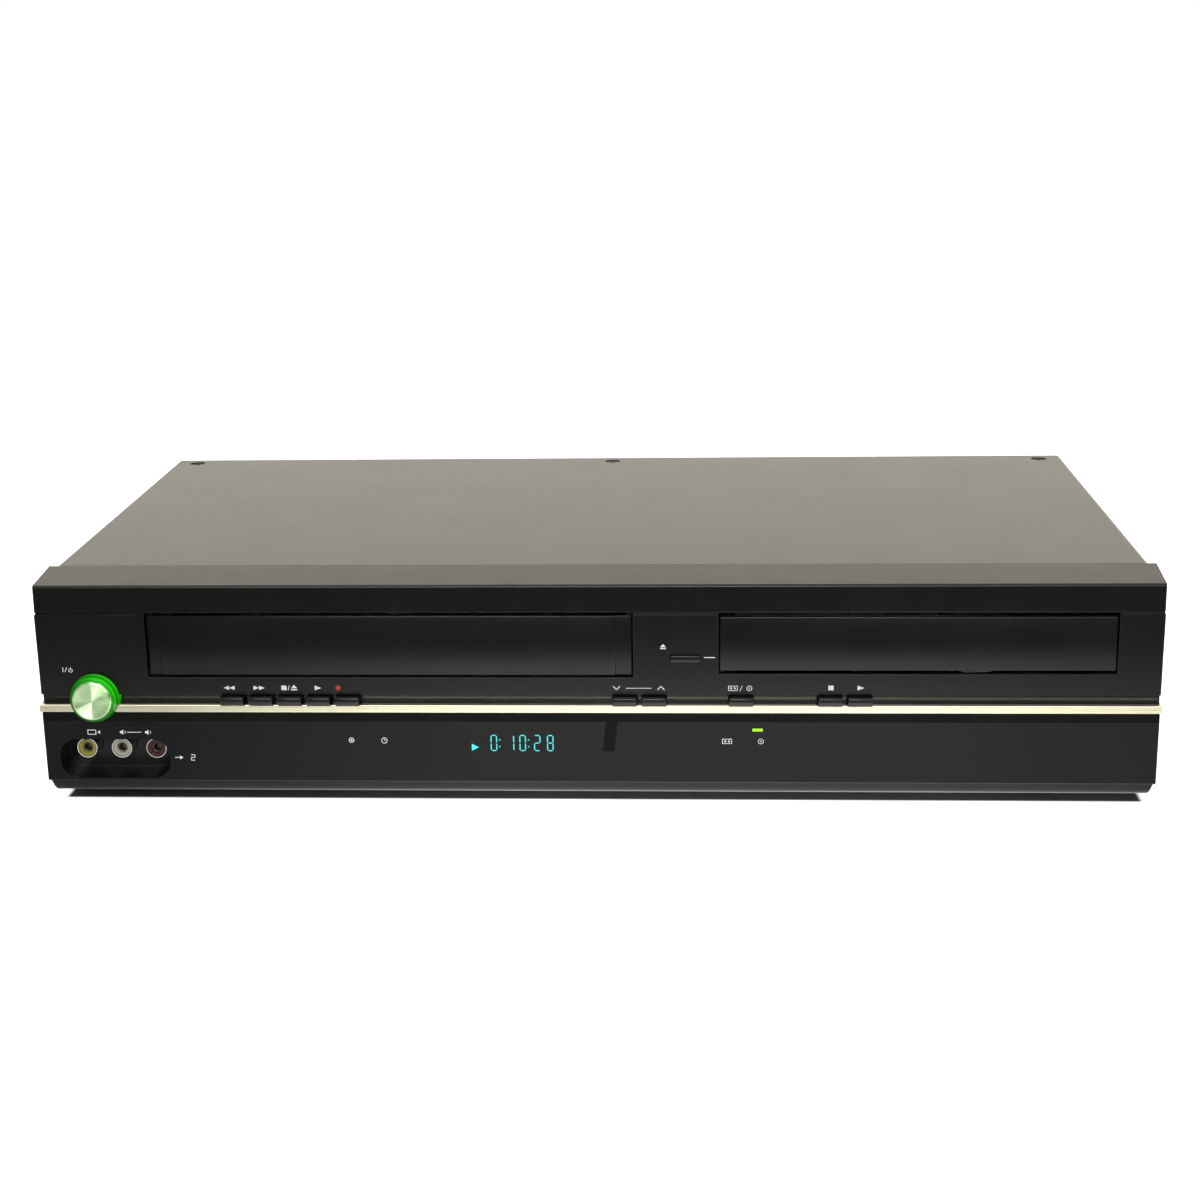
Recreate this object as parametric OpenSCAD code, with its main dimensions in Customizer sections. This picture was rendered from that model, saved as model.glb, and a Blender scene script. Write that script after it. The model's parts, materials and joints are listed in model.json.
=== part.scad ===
// Combined disc and cassette player: a low black case with a cassette slot on
// the left, a disc drawer on the right and a metal strip across the front.
// Lengths are in millimetres. X runs to the right, Y to the back, Z up.

/* [Case] */
// Width of the front left of the cassette slot
side_left = 43.25; // [42.5:0.25:46]
// Width of the front between the cassette slot and the disc drawer
pillar_w = 32.85; // [32:0.05:36]
// Width of the front right of the disc drawer
side_right = 16.8; // [16:0.1:20]
// Room between the tape deck and the back edge of the cover
rear_room = 24; // [23:0.5:30]
// Height of the feet
foot_h = 9.5; // [6:0.5:14]
// Radius of a foot
foot_r = 12; // [9:0.5:14]
// Distance of a cover screw from the side of the case
cup_in = 11.5; // [11:0.5:14]
// Distance of a foot's centre from the side of the case
foot_in = 37.5; // [30:0.5:45]
// Distance of a front foot's centre from the front of the case
foot_front = 42; // [34:0.5:50]
// Distance of a back foot's centre from the back of the case
foot_back = 27; // [26:0.5:34]
// Thickness of the steel cover
sheet_t = 0.8; // [0.6:0.1:1.0]
// Thickness of the steel pan and back panel
pan_t = 1.0; // [0.8:0.1:1.4]
// Height of the pan's side flanges
flange_h = 30; // [24:1:36]
// Gap between pieces that stay apart
gap = 0.3; // [0.2:0.05:0.4]
// Radial clearance of a shaft or pin in its hole
fit = 0.05; // [0.03:0.01:0.09]

/* [Front panel] */
// Depth of the front panel along its sides
bezel_d = 31; // [28:0.5:34]
// How far the front panel flares at its back edge, each side
flare = 2.5; // [1:0.25:3]
// Wall of the front panel
panel_t = 2.2; // [1.8:0.1:2.4]
// Radius along the top front edge
edge_r = 1; // [0.5:0.1:1.6]
// Height of the band above the groove
band_h = 10.8; // [10:0.1:11.2]
// Height of the groove under the band
groove_h = 0.8; // [0.4:0.1:1]
// Depth of the groove under the band
groove_d = 1.2; // [0.6:0.1:1.3]
// Height of the channel that the keys stand in
channel_h = 3.7; // [3.6:0.1:4]
// Height of the middle panel below the cassette slot
sill_h = 7.1; // [7:0.1:7.4]
// How far the middle panel leans forward at its top
mid_out = 0.8; // [0.3:0.1:1]
// How far the middle panel is set back at its foot
mid_in = 0.3; // [0:0.1:0.5]
// Depth of the channel that the keys stand in
shelf_d = 3.5; // [3:0.1:4]
// Height of the metal strip
strip_h = 3.1; // [2.5:0.1:3.5]
// How far the metal strip stands forward
strip_out = 1.8; // [1.3:0.1:2.2]
// How far the metal strip overhangs each side
strip_over = 0.5; // [0:0.1:1]
// Lower edge of the dark window
window_z = 5.5; // [5:0.1:6]
// Height of the dark window
window_h = 28.7; // [28:0.1:29]
// How far the window stands forward at its top
window_out = 1.3; // [1:0.1:1.6]
// How far the window stands forward at its foot
window_foot = 0.7; // [0.4:0.1:1]
// Depth of the seat behind the window
window_seat = 1.2; // [1:0.1:1.4]
// How far the lip below the window is set back
lip_in = 1.3; // [1:0.1:1.6]
// How far the lip is set in at each side
lip_side = 0.9; // [0.5:0.1:1.3]
// How much further the lip leans in at its foot
lip_lean = 1.8; // [1:0.1:2.4]

/* [Cassette slot] */
// Width of the cassette slot
slot_w = 190.5; // [189.5:0.1:192]
// Height of the cassette slot
slot_h = 26.4; // [26.2:0.1:27.5]
// Gap round the cassette door
door_gap = 0.5; // [0.4:0.05:0.8]
// Thickness of the cassette door
door_t = 2; // [1.6:0.1:2.2]
// How far the door's middle zone is raised
door_pad = 0.5; // [0.2:0.1:0.6]
// Margin of the door left of the raised zone
pad_left = 5; // [3:0.5:8]
// Margin of the door right of the raised zone
pad_right = 6.3; // [3:0.1:8]
// Radius of the door's hinge pins
door_pin_r = 1.5; // [1.2:0.1:1.7]

/* [Disc drawer] */
// Width of the drawer's opening
drawer_w = 151.6; // [150:0.1:153]
// How far the drawer's opening starts above the slot's lower edge
drawer_rise = 1.5; // [1:0.1:1.8]
// How far the drawer's opening stops below the slot's upper edge
drawer_lid = 0.8; // [0.8:0.1:1.4]
// Gap round the drawer's door
drawer_gap = 0.5; // [0.4:0.05:0.8]
// Thickness of the drawer's door
drawer_t = 3; // [2.4:0.1:3.2]
// Width of the tray
tray_w = 130; // [129:0.5:132]
// Depth of the tray
tray_d = 148; // [146:0.5:150]
// Radius of the disc's well
well_r = 60.5; // [60.2:0.1:61]
// Radius of the small disc's well
small_well_r = 40.5; // [40.2:0.1:41.5]
// Module of the gear teeth
tooth = 1; // [0.98:0.01:1]
// Teeth on the wheel that drives the rack
rack_teeth = 20; // [20]
// Teeth on the large wheel below it
large_teeth = 30; // [30]
// Teeth on the belt wheel's pinion
pinion_teeth = 12; // [12]

/* [Keys] */
// Width of a key
key_w = 9.4; // [8.6:0.1:9.8]
// Height of a key
key_h = 2.7; // [2.3:0.1:2.9]
// Gap between the metal strip and the keys
key_rise = 0.45; // [0.3:0.05:0.6]
// Distance from key to key in a group
key_pitch = 11.4; // [11:0.1:12]
// How far the keys stand forward
key_out = 3; // [2.4:0.1:3.4]
// Middle of the five tape keys, right of the slot's left edge
tape_keys_in = 55.85; // [54:0.05:58]
// Middle of the two tracking keys, right of the slot's right edge
track_keys_in = 2.25; // [1:0.05:4]
// Middle of the source key, right of the drawer's left edge
source_key_in = 8.7; // [7:0.1:11]
// Middle of the two disc keys, right of the drawer's left edge
disc_keys_in = 48.7; // [46:0.1:51]
// Middle of the drawer's key, right of the slot's right edge
open_key_in = 20.15; // [19:0.05:21]
// Height of the drawer's key above the slot's lower edge
open_key_up = 7.9; // [7:0.1:9]
// Width of the drawer's key
open_key_w = 11.4; // [10:0.1:12]
// Height of the drawer's key itself
open_key_h = 2.5; // [2:0.1:3]
// Travel of a key
key_travel = 0.5; // [0.3:0.05:0.6]
// Middle of the power button, from the left side
power_in = 21.5; // [21:0.1:22]
// Height of the power button above the metal strip's upper edge
power_up = 2.5; // [2.3:0.1:2.7]
// Radius of the power button's cap
power_r = 7.7; // [7.2:0.1:8]
// How far the power button stands forward
power_out = 5.2; // [4.8:0.1:5.6]
// Travel of the power button
power_travel = 1; // [0.6:0.1:1.2]
// Width of the lit ring round the cap
ring_w = 0.9; // [0.6:0.1:1.1]

/* [Sockets] */
// Middle of the front sockets, from the left side
av_in = 29.5; // [29:0.1:30]
// Distance between sockets
jack_pitch = 14; // [13.8:0.1:14.2]
// Height of the front sockets above the window's lower edge
av_up = 12; // [11.5:0.1:12.3]
// Radius of a socket's barrel
jack_r = 4.15; // [4:0.05:4.3]
// Radius of a socket's centre hole
pin_hole_r = 1.6; // [1.5:0.05:1.7]
// Length of a socket's barrel outside its panel
jack_l = 7.5; // [6.5:0.1:8]
// Width of the recess for the front sockets
recess_w = 44.2; // [43:0.1:45]
// Height of the recess
recess_h = 16.1; // [15.5:0.1:16.5]
// Height of the recess above the window's lower edge
recess_up = 1.4; // [1.2:0.1:1.6]
// Depth of the recess
recess_d = 12.2; // [11.5:0.1:12.5]
// Radius of an aerial socket
rf_r = 4.7; // [4.5:0.05:4.8]
// How far the aerial sockets stand behind the cover
rf_out = 7.2; // [6:0.1:8]
// Middle of the aerial sockets, from the left side
rf_in = 30.5; // [28:0.5:33]
// Distance from the aerial sockets to the first column of rear sockets
line_step = 47; // [45:0.5:50]
// Distance from there to the round video socket
round_step = 56; // [54:0.5:58]
// Distance from there to the first colour signal socket
colour_step = 24; // [22.5:0.5:26]
// Distance from there to the first rear sound socket
sound_step = 60; // [57:0.5:63]
// Height of the lower row of rear sockets
row_z = 19; // [18.5:0.5:22]
// Radius of the cord's hole in its gland
cord_r = 3.3; // [2.5:0.1:3.6]
// Middle of the cord gland, from the right side
cord_in = 22.5; // [19:0.5:27]

/* [Tape deck] */
// Height of the tape deck's plate above the base
deck_z = 20.5; // [19.9:0.1:20.8]
// Thickness of the tape deck's plate
deck_t = 1.2; // [1:0.1:1.3]
// Front edge of the tape deck
deck_front = 34; // [33:0.5:36]
// Depth of the tape deck
deck_len = 182; // [180:0.5:184]
// How much narrower than the slot the cassette holder is inside
holder_less = 1.5; // [1:0.1:2]
// Wall of the cassette holder
holder_t = 1; // [0.8:0.1:1.1]
// Front edge of the cassette holder
holder_front = 37; // [36.8:0.1:38]
// Depth of the cassette holder
holder_len = 43; // [40:0.5:45]
// Straight travel of the cassette holder
holder_travel = 58; // [55:0.5:60]
// Drop of the cassette holder after its straight travel
holder_drop = 22; // [20:0.5:24]
// Distance from reel to reel
reel_pitch = 88; // [86:0.5:92]
// Radius of a reel table
reel_r = 16; // [14:0.5:18]
// Radius of the head drum
drum_r = 31; // [30:0.25:31]
// Lean of the head drum in degrees
drum_lean = 5.96; // [4:0.1:6.2]
// Distance of the head drum's axis from the front face
drum_d = 179; // [178:0.5:182]
// Radius of the capstan shaft
capstan_r = 1.5; // [1.3:0.05:1.6]
// Radius of the capstan's flywheel
flywheel_r = 20; // [17:0.5:21]
// Radius of the pinch roller
pinch_r = 6.2; // [5.8:0.1:6.3]
// Teeth on the loading cam wheel
cam_teeth = 28; // [28]

/* [Disc loader] */
// Wall of the loader's frame
loader_t = 3; // [2.5:0.1:3.2]
// Depth of the loader's frame
loader_d = 167; // [164:0.5:168]
// Radius of the turntable
table_r = 15; // [14:0.25:15.5]
// Radius of the turntable's hub
hub_r = 7.4; // [7.2:0.05:7.45]
// Distance of the turntable from the front face
spindle_d = 72; // [71.5:0.1:72.5]
// Radius of the clamper
clamp_r = 15; // [13:0.5:16]
// Radius of a guide rod
rod_r = 1.5; // [1.3:0.05:1.6]
// Travel of the pickup
sled_travel = 28; // [24:0.5:28.5]

/* [Hidden] */
$fn = 64;

BLACK = [0.11, 0.11, 0.10];
GLOSS = [0.06, 0.06, 0.07];
COVER = [0.20, 0.19, 0.18];
STRIP = [0.86, 0.84, 0.68];
ALLOY = [0.78, 0.80, 0.80];
STEEL = [0.62, 0.63, 0.65];
ZINC = [0.70, 0.70, 0.68];
GLOW = [0.45, 0.95, 0.25, 0.6];
BOARD = [0.12, 0.33, 0.18];
GREY = [0.35, 0.35, 0.36];
NATURAL = [0.86, 0.85, 0.80];
BRASS = [0.80, 0.66, 0.36];
SOCKETS = [[0.92, 0.80, 0.15], [0.93, 0.93, 0.90], [0.80, 0.12, 0.14]];
COLOUR_SOCKETS = [[0.10, 0.55, 0.20], [0.12, 0.25, 0.70], [0.80, 0.12, 0.14]];

// front panel levels, from the foot up
strip_low = window_z + window_h + 0.2;
window_top = strip_low - 0.2;
strip_z = strip_low + strip_h;
mid_z = strip_z + channel_h;
slot_z = mid_z + sill_h;
groove_z = slot_z + slot_h;
case_h = groove_z + band_h;
drawer_z = slot_z + drawer_rise;
drawer_h = groove_z - drawer_lid - drawer_z;
key_z = strip_z + key_rise + key_h / 2;

// front panel places, from the left side to the right
case_w = side_left + slot_w + pillar_w + drawer_w + side_right;
case_d = deck_front + deck_len + rear_room;
half_w = case_w / 2;
slot_x = side_left + slot_w / 2 - half_w;
slot_end = slot_x + slot_w / 2;
drawer_x = half_w - side_right - drawer_w / 2;
drawer_end = drawer_x - drawer_w / 2;
tape_keys_x = slot_x - slot_w / 2 + tape_keys_in;
track_keys_x = slot_end + track_keys_in;
source_key_x = drawer_end + source_key_in;
disc_keys_x = drawer_end + disc_keys_in;
open_key_x = slot_end + open_key_in;
open_key_z = slot_z + open_key_up;
power_x = power_in - half_w;
power_z = strip_z + power_up;
av_x = av_in - half_w;
av_z = window_z + av_up;
recess_z = window_z + recess_up;
rf_x = rf_in - half_w;
line_x = rf_x + line_step;
round_x = line_x + round_step;
colour_x = round_x + colour_step;
sound_x = colour_x + sound_step;
cord_x = half_w - cord_in;

// the origin lies under the middle of the whole thing
front_y = power_out - (power_out + case_d + rf_out) / 2;
eps = 0.01;
far = 400;

// front panel depths
strip_seat = 0.9;
panel_back = mid_in + panel_t;
shelf_back = shelf_d + panel_t;
seat_back = window_seat + panel_t;
lip_top = window_z - 0.5;
lip_r = 4;
panel_floor_d = 11.7;
boss_r = 2.5;

// steel pan, cover and back panel
pan_front = panel_floor_d + gap;
pan_side = half_w - lip_side - lip_lean - panel_t - 2 * gap;
flange_x = half_w - sheet_t - gap;
flange_front = bezel_d + 1;
rear_d = case_d - 3;
cover_front = bezel_d + gap;
cover_low = 2;
bend_r = 2;
cup_r = 3.6;
cup_depth = 2;
cup_d = case_d - 8;
cup_xs = [cup_in - half_w, 0, half_w - cup_in];
screw_r = 1.4;
screw_hole_r = 1.6;
head_r = 3;
head_h = 1.6;
side_screw_z = 20;
side_screw_ds = [60, case_d - 40];
rear_screw_xs = [cup_in - half_w, sound_x + 40, half_w - cup_in];
rear_screw_z = 8;
stem_r = 3;

// boards
power_left = half_w - 157.5;
power_right = half_w - 11.5;
power_front = case_d - 82;
power_back = case_d - 12;
board_t = 1.6;
board_z = 7.5;
board_top = board_z + board_t;
standoff_r = 3;
keyboard_d = 13;
keyboard_z = strip_z - 6;
keyboard_top = mid_z + 6.3;
boss_z = mid_z + 3.8;
switch_d = 3.4;
plunger_l = 0.7;
plunger_front = keyboard_d - switch_d - plunger_l;

// cassette door
door_front = 1.5;
door_w = slot_w - 2 * door_gap;
door_low = slot_z + door_gap;
door_top = groove_z - groove_h - 0.9;
hinge_d = 5.5;
hinge_z = groove_z + 3.6;
ear_t = 2;
lug_gap = 1.2;
lug_t = 2.5;

// tape deck
deck_top = deck_z + deck_t;
deck_back = deck_front + deck_len;
holder_half = (slot_w - holder_less) / 2 + holder_t;
bracket_gap = 1.5;
bracket_half = holder_half + bracket_gap;
deck_half = bracket_half + deck_t;
holder_z = slot_z - 0.5;
holder_top = groove_z + 1.3;
holder_pin_z = holder_z + 12.2;
holder_pin_r = 1.5;
holder_pins = [holder_front + 8, holder_front + holder_len - 8];
reel_d = 88;
axle_r = 2;
capstan_x = slot_x + 53.1;
capstan_d = 133;
pinch_x = slot_x + 74;
pinch_d = 150;
pinch_arm_l = 21;
pinch_rest = 178;
guide_x = 26;
guide_d = 130;
guide_step = [16, 46];
cam_x = slot_x + 79;
cam_d = 186;
cam_r = tooth * cam_teeth / 2;
worm_r = 3;
worm_d = cam_d + cam_r + tooth + worm_r + gap;
worm_z = deck_top + 9.5;
drum_z = deck_top + 4.8;
drum_split = 15;

// disc loader
tray_front = 6;
tray_z = drawer_z + 3.7;
tray_floor = tray_z + 3;
well_z = tray_floor + 2.1;
tray_top = tray_floor + 6;
tray_half = tray_w / 2;
frame_in = tray_half + 0.6;
frame_half = frame_in + loader_t;
frame_front = 8;
frame_z = tray_z - 9.5;
frame_floor = frame_z + 2;
frame_top = tray_top + 4.4;
gear_z = frame_floor + 4;
loader_post_x = tray_half - 3;
loader_post_ds = [20, 150];
well_d = spindle_d;
rack_r = tooth * rack_teeth / 2;
large_r = tooth * large_teeth / 2;
pinion_r = tooth * pinion_teeth / 2;
drive_x = drawer_x + 45;
drive_d = 24;
pinion_x = drive_x - large_r - pinion_r;
rack_x = drive_x - rack_r;
motor_x = drawer_x - 10;
belt_z = frame_floor + 2;
belt_t = 1.2;
pulley_groove = 9.5;
motor_groove = 3;
traverse_z = frame_z - 4;
traverse_t = 2.5;
traverse_half = 34;
traverse_front = spindle_d - 18;
pivot_d = 150;
pivot_z = traverse_z + traverse_t / 2;
rod_x = 26;
rod_z = traverse_z - 2.8;
sled_front = spindle_d + 16;
sled_l = 30;
table_top = tray_floor - 3.5;
clamp_z = tray_top + 0.5;

module place() translate([0, front_y, foot_h]) children();

module block(lo, hi) translate(lo) cube(hi - lo);

module along_y(p, r, l) translate(p) rotate([-90, 0, 0]) cylinder(r = r, h = l);

module along_x(p, r, l) translate(p) rotate([0, 90, 0]) cylinder(r = r, h = l);

// a turned shape about a line along Y, drawn as radius against depth
module turned_y(p, points) translate(p) rotate([-90, 0, 0]) rotate_extrude() polygon(points);

// an outline in X and Z, carried along Y from one depth to another
module plate_y(points, d0, d1) translate([0, d1, 0]) rotate([90, 0, 0])
    linear_extrude(d1 - d0) polygon(points);

// an outline in Y and Z, carried along X
module plate_x(points, x0, x1) translate([x0, 0, 0]) rotate([90, 0, 90])
    linear_extrude(x1 - x0) polygon(points);

function arc(c, r, a0, a1, n = 8) =
    [for (i = [0:n]) let (a = a0 + (a1 - a0) * i / n) c + r * [cos(a), sin(a)]];

function rounded(w, h, r) = concat(
    arc([w / 2 - r, h / 2 - r], r, 0, 90), arc([r - w / 2, h / 2 - r], r, 90, 180),
    arc([r - w / 2, r - h / 2], r, 180, 270), arc([w / 2 - r, r - h / 2], r, 270, 360));

function moved(points, v) = [for (p = points) p + v];

// one involute flank: half the angle that a tooth fills at radius r
function involute(a) = tan(a) * 180 / PI - a;
function half_tooth(r, pitch_r, teeth) =
    90 / teeth - 0.06 * 180 / (PI * pitch_r) + involute(20)
    - involute(acos(min(1, pitch_r * cos(20) / r)));

module gear(teeth, h, turn = 0) {
    pitch_r = tooth * teeth / 2;
    low = pitch_r - 1.2 * tooth;
    base = max(low, pitch_r * cos(20));
    tip = pitch_r + 0.95 * tooth;
    radii = [for (i = [0:4]) base + (tip - base) * i / 4];
    up = [for (r = radii) [r, half_tooth(r, pitch_r, teeth)]];
    side = concat([[low, up[0][1] + 1]], up);
    rotate(turn) linear_extrude(h) polygon([
        for (k = [0:teeth - 1]) let (a = 360 * k / teeth) each concat(
            [for (p = side) p[0] * [cos(a - p[1]), sin(a - p[1])]],
            [for (i = [len(side) - 1:-1:0]) let (p = side[i]) p[0] * [cos(a + p[1]), sin(a + p[1])]])
    ]);
}

// ---- case ----

function skirt(half, top, r) = concat(
    [[half, -far]], arc([half - r, top - r], r, 0, 90),
    arc([r - half, top - r], r, 90, 180), [[-half, -far]]);

module top_cover() color(COVER) place() {
    cup_floor = case_h - cup_depth - sheet_t;
    difference() {
        union() {
            difference() {
                plate_y(skirt(half_w, case_h, bend_r), cover_front, case_d);
                plate_y(skirt(half_w - sheet_t, case_h - sheet_t, bend_r - sheet_t), 0, far);
                block([-far, 0, -2 * far], [far, far, cover_low]);
            }
            for (x = cup_xs) translate([x, cup_d, cup_floor])
                cylinder(r = cup_r + sheet_t, h = cup_depth + sheet_t / 2);
        }
        for (x = cup_xs) translate([x, cup_d, cup_floor]) {
            translate([0, 0, sheet_t]) cylinder(r = cup_r, h = far);
            translate([0, 0, -1]) cylinder(r = screw_hole_r, h = far);
        }
        for (d = side_screw_ds) along_x([-far, d, side_screw_z], screw_hole_r, 2 * far);
        for (i = [0:9]) for (z = [34, 56])
            block([-far, case_d - 96 + 5 * i, z], [far, case_d - 93.5 + 5 * i, z + 16]);
    }
}

module screw(head_at) {
    translate([0, 0, head_at]) difference() {
        cylinder(r = head_r, h = head_h);
        translate([0, 0, head_h - 0.8]) {
            cube([3.2, 0.8, 2], center = true);
            cube([0.8, 3.2, 2], center = true);
        }
    }
    translate([0, 0, head_at - 5]) cylinder(r = screw_r, h = 5);
}

module case_screws() color(GREY) place() {
    for (x = cup_xs) translate([x, cup_d, case_h - cup_depth]) screw(0);
    for (d = side_screw_ds) {
        translate([half_w, d, side_screw_z]) rotate([0, 90, 0]) screw(0);
        translate([-half_w, d, side_screw_z]) rotate([0, -90, 0]) screw(0);
    }
    for (x = rear_screw_xs) translate([x, rear_d, rear_screw_z]) rotate([-90, 0, 0]) screw(0);
}

module at_feet() for (sx = [-1, 1]) for (d = [foot_front, case_d - foot_back])
    translate([sx * (half_w - foot_in), d, 0]) children();

module post(x, d, z, r) translate([x, d, pan_t - eps]) difference() {
    cylinder(r = r, h = z - pan_t + eps);
    translate([0, 0, 1]) cylinder(r = r - 1.7, h = far);
}

deck_posts = [for (s = [-1, 1]) for (d = [deck_front + 8, deck_back - 8])
    [slot_x + s * (deck_half - 8.2), d]];
board_posts = [[slot_x - 71, 60], [slot_x + 39, 60], [drawer_x - 14.9, 36],
               [drawer_x - 14.9, 136], [slot_x - 71, 190], [power_left - 24, 190]];
power_posts = [for (x = [power_left + 10, power_right - 10])
    for (d = [power_front + 8, power_back - 8]) [x, d]];

module chassis_base() color(STEEL) place() difference() {
    union() {
        block([-pan_side, pan_front, 0], [pan_side, rear_d - pan_t, pan_t]);
        for (s = [0, 1]) mirror([s, 0, 0]) {
            block([pan_side - 1, flange_front, 0], [flange_x, rear_d - pan_t, pan_t]);
            block([flange_x - pan_t, flange_front, 0], [flange_x, rear_d - pan_t, flange_h]);
        }
        for (x = rear_screw_xs) block([x - 6, rear_d - 2 * pan_t, 0], [x + 6, rear_d - pan_t, 14]);
        for (p = deck_posts) post(p[0], p[1], deck_z, 3.5);
        for (d = loader_post_ds) for (s = [-1, 1])
            post(drawer_x + s * loader_post_x, d, frame_z, 4);
        for (p = concat(board_posts, power_posts)) post(p[0], p[1], board_z, standoff_r);
    }
    at_feet() translate([0, 0, -1]) cylinder(r = stem_r + fit, h = 4);
    for (x = rear_screw_xs) along_y([x, rear_d - 10, rear_screw_z], screw_r + fit, 12);
    for (d = side_screw_ds) along_x([-far, d, side_screw_z], screw_r + fit, 2 * far);
    for (i = [0:11]) translate([power_left + 22 + 8 * i, power_front + 18, -1]) cube([3, 34, pan_t + 2]);
    for (i = [0:9]) translate([slot_x - 45 + 8 * i, 96, -1]) cube([3, 34, pan_t + 2]);
}

module feet() color(BLACK) place() at_feet() difference() {
    union() {
        translate([0, 0, -foot_h]) cylinder(r = foot_r, h = foot_h);
        cylinder(r = stem_r, h = pan_t + 1.5);
    }
    translate([0, 0, -foot_h - 1]) cylinder(r = foot_r - 5, h = 3);
}

line_xs = [for (i = [0:2]) line_x + i * jack_pitch];
colour_xs = [for (i = [0:2]) colour_x + i * jack_pitch];
sound_xs = [for (i = [0:1]) sound_x + i * jack_pitch];
row_zs = [row_z, row_z + jack_pitch];
digital_x = colour_x + 3 * jack_pitch;
rf_zs = [26, 50];
cord_z = 20;
gland_r = 6;

module rear_panel() color(ZINC) place() {
    ledge_z = case_h - cup_depth - sheet_t;
    difference() {
        union() {
            block([-flange_x, rear_d - pan_t, 0], [flange_x, rear_d, ledge_z]);
            block([1 - flange_x, rear_d - 12, ledge_z - pan_t], [flange_x - 1, rear_d, ledge_z]);
        }
        for (x = cup_xs) translate([x, cup_d, ledge_z - 3]) cylinder(r = screw_r + fit, h = 5);
        for (x = rear_screw_xs) along_y([x, rear_d - 2, rear_screw_z], screw_hole_r, 4);
        for (x = line_xs) for (z = row_zs) along_y([x, rear_d - 2, z], jack_r + gap, 4);
        for (x = concat(colour_xs, sound_xs, [digital_x])) along_y([x, rear_d - 2, row_z], jack_r + gap, 4);
        along_y([round_x, rear_d - 2, row_z], 6 + gap, 4);
        for (z = rf_zs) along_y([rf_x, rear_d - 2, z], rf_r + gap, 4);
        along_y([cord_x, rear_d - 2, cord_z], gland_r + fit, 4);
        for (i = [0:13]) translate([power_left + 4 + 8 * i, rear_d - 3, 34]) cube([3, 4, 28]);
    }
}

// ---- front panel ----

panel_outline = concat(
    [[bezel_d, case_h]], arc([edge_r, case_h - edge_r], edge_r, 90, 180),
    [[0, groove_z], [groove_d, groove_z], [groove_d, groove_z - groove_h],
     [-mid_out, groove_z - groove_h], [mid_in, mid_z], [shelf_d, mid_z],
     [shelf_d, strip_z], [strip_seat, strip_z], [strip_seat, window_top + 0.1],
     [window_seat, window_top + 0.1], [window_seat, lip_top]],
    arc([lip_in + lip_r, lip_r], lip_r, 180, 270), [[bezel_d, 0]]);

panel_cavity = [
    [far, case_h - panel_t], [panel_back, case_h - panel_t], [panel_back, mid_z + 1.6],
    [shelf_back, mid_z + 1.6], [shelf_back, window_top - 1], [seat_back, window_top - 1],
    [seat_back, panel_t + 2], [lip_in + lip_r, panel_t], [far, panel_t]];

function wedge(inset) = [
    [inset - half_w, -5], [half_w - inset, -5], [half_w - inset, 0],
    [half_w + flare - inset, bezel_d], [inset - half_w - flare, bezel_d], [inset - half_w, 0]];

module recess_shape(grow, d0, d1) plate_y(
    moved(rounded(recess_w + 2 * grow, recess_h + 2 * grow, 7 + grow),
          [av_x - 1.4, recess_z + recess_h / 2]), d0, d1);

module key_hole(x) block([x - key_w / 2 - 0.15, shelf_d - 1, key_z - key_h / 2 - 0.15],
                         [x + key_w / 2 + 0.15, shelf_back + 1, key_z + key_h / 2 + 0.15]);

tape_xs = [for (i = [-2:2]) tape_keys_x + i * key_pitch];
track_xs = [for (s = [-0.5, 0.5]) track_keys_x + s * key_pitch];
disc_xs = [for (s = [-0.5, 0.5]) disc_keys_x + s * key_pitch];
key_xs = concat(tape_xs, track_xs, [source_key_x], disc_xs);
av_xs = [for (i = [-1:1]) av_x + i * jack_pitch];
av_l = 8;
neck_in = 0.25;
neck_gap = 0.2;
ring_r = power_r + 0.2 + ring_w;
ring_seat = ring_r + 0.8;
display_x = slot_x + 54;
display_w = 94;
display_z = window_z + 4;
display_h = 20;
led_xs = [drawer_end + 3.1, drawer_end + 15.2];
led_z = window_top - 7;
keyboard_bosses = [slot_x - 81, slot_x + 29, open_key_x + 9.6];
display_bosses = [display_x - 52, led_xs[1] + 7];

// the sides of the panel, with the lip leaning in below the window
function side_lines(inset) =
    let (high = half_w - lip_side - inset, low = high - lip_lean) [
        [-low, 0], [low, 0], [high, lip_top], [far, lip_top], [far, far], [-far, far],
        [-far, lip_top], [-high, lip_top]];

module panel_shell() difference() {
    intersection() {
        plate_x(panel_outline, -far, far);
        linear_extrude(case_h) polygon(wedge(0));
        plate_y(side_lines(0), -5, far);
    }
    intersection() {
        plate_x(panel_cavity, -far, far);
        linear_extrude(far) polygon(wedge(panel_t));
        plate_y(side_lines(panel_t), 0, far);
    }
    intersection() {
        translate([0, 0, -1]) linear_extrude(panel_t + 5) polygon(wedge(panel_t));
        block([-far, panel_floor_d, -1], [far, far, panel_t + 1]);
    }
    translate([0, 0, -1]) linear_extrude(far) polygon([
        [panel_t - half_w - flare, bezel_d - eps], [half_w + flare - panel_t, bezel_d - eps],
        [half_w + flare - panel_t, far], [panel_t - half_w - flare, far]]);
}

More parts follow.
